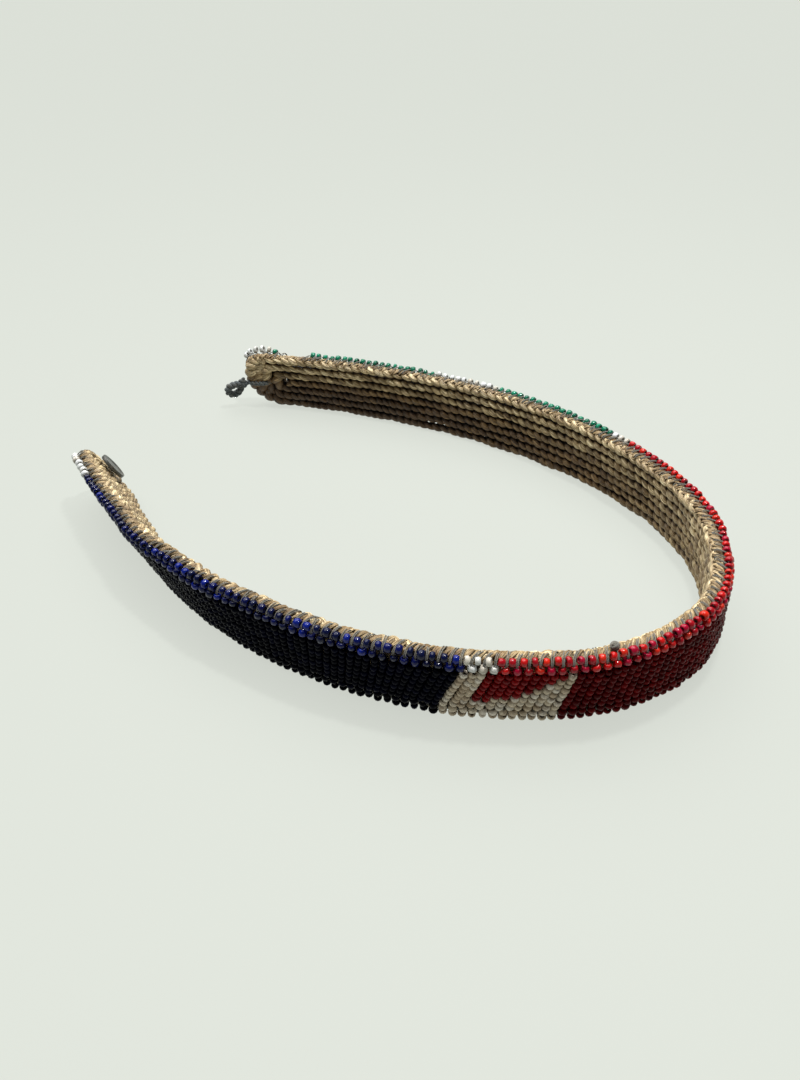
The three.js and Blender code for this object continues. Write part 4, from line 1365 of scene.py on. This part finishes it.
def settlePlace(piece, along, out, up):
    # stands a piece modelled round the origin at its place on the band, with Y outwards
    tangent, outward, upward = [axis[0] for axis in bandAxes(np.array([along]))]
    place = bandPoint(np.array([along]), out, up)[0]
    corners, faces = meshArrays(piece)
    moved = place + corners[:, :1] * tangent + corners[:, 1:2] * outward + corners[:, 2:3] * upward
    piece.data.vertices.foreach_set("co", moved.ravel())
    piece.data.update()


def selectFaces(piece, test):
    bpy.ops.object.mode_set(mode="OBJECT")
    for vertex in piece.data.vertices:
        vertex.select = False
    for edge in piece.data.edges:
        edge.select = False
    for face in piece.data.polygons:
        face.select = bool(test(face))
    bpy.ops.object.mode_set(mode="EDIT")


def addButton():
    shankOut = -(loop["ropeHalf"] + loop["gap"] + button["shankLength"] / 2)
    buttonOut = shankOut - button["shankLength"] / 2 - loop["gap"] - button["thickness"] / 2
    up = band["halfHeight"] - button["belowRim"] - button["diameter"] / 2
    radius, half = button["diameter"] / 2, button["thickness"] / 2
    deselectAll()
    bpy.ops.mesh.primitive_cylinder_add(vertices=48, radius=radius, depth=button["thickness"],
                                        rotation=(math.radians(90), 0, 0), location=(0, 0, 0))
    disc = bpy.context.object
    disc.name = "horn_button"
    bpy.ops.object.transform_apply(location=False, rotation=True, scale=False)
    bpy.ops.object.mode_set(mode="EDIT")
    selectFaces(disc, lambda face: face.normal.y < -0.9)   # the face towards the head
    bpy.ops.mesh.inset(thickness=0.9 * mm)
    bpy.ops.transform.translate(value=(0, 0.35 * mm, 0))
    bpy.ops.mesh.inset(thickness=0.5 * mm)
    bpy.ops.transform.translate(value=(0, 0.12 * mm, 0))
    bpy.ops.mesh.inset(thickness=1.0 * mm)
    selectFaces(disc, lambda face: face.normal.y > 0.9 and face.area > 10 * mm * mm)
    bpy.ops.mesh.inset(thickness=1.2 * mm)
    bpy.ops.transform.translate(value=(0, -0.12 * mm, 0))
    bpy.ops.object.mode_set(mode="OBJECT")
    rounding = disc.modifiers.new("rounding", "BEVEL")
    rounding.width = 0.28 * mm
    rounding.segments = 3
    rounding.limit_method = "ANGLE"
    rounding.angle_limit = math.radians(35)
    bpy.ops.object.modifier_apply(modifier="rounding")
    bpy.ops.object.shade_smooth_by_angle(angle=math.radians(40))
    settlePlace(disc, button["fromTip"], buttonOut, up)
    finishPiece(disc, darkHorn, ("button",), "button")
    addShank(shankOut, up)


def addShank(shankOut, up):
    # thread wound round its own stem
    turns, rings = 5, 120
    share = np.linspace(0, 1, rings)
    angle = share * turns * 2 * math.pi
    radius = button["shankDiameter"] / 2 - 0.2 * mm
    local = np.stack([np.cos(angle) * radius, (share - 0.5) * (button["shankLength"] - 0.3 * mm),
                      np.sin(angle) * radius], -1)
    tangent, outward, upward = [axis[0] for axis in bandAxes(np.array([button["fromTip"]]))]
    place = bandPoint(np.array([button["fromTip"]]), shankOut, up)[0]
    path = place + local[:, :1] * tangent + local[:, 1:2] * outward + local[:, 2:3] * upward
    stem = place + np.linspace(-0.5, 0.5, rings)[:, None] * outward * button["shankLength"]
    tube = makeTube(8, rings)
    radii = [0.2 * mm, np.full(rings, radius)]
    crosses = [np.tile(outward, (rings, 1)), np.tile(upward, (rings, 1))]
    piece = layTubes("button_stem", tube, [path, stem], crosses, radii)
    finishPiece(piece, greyCotton, ("button_shank",), "near_half")


addButton()
print("loop and button made")
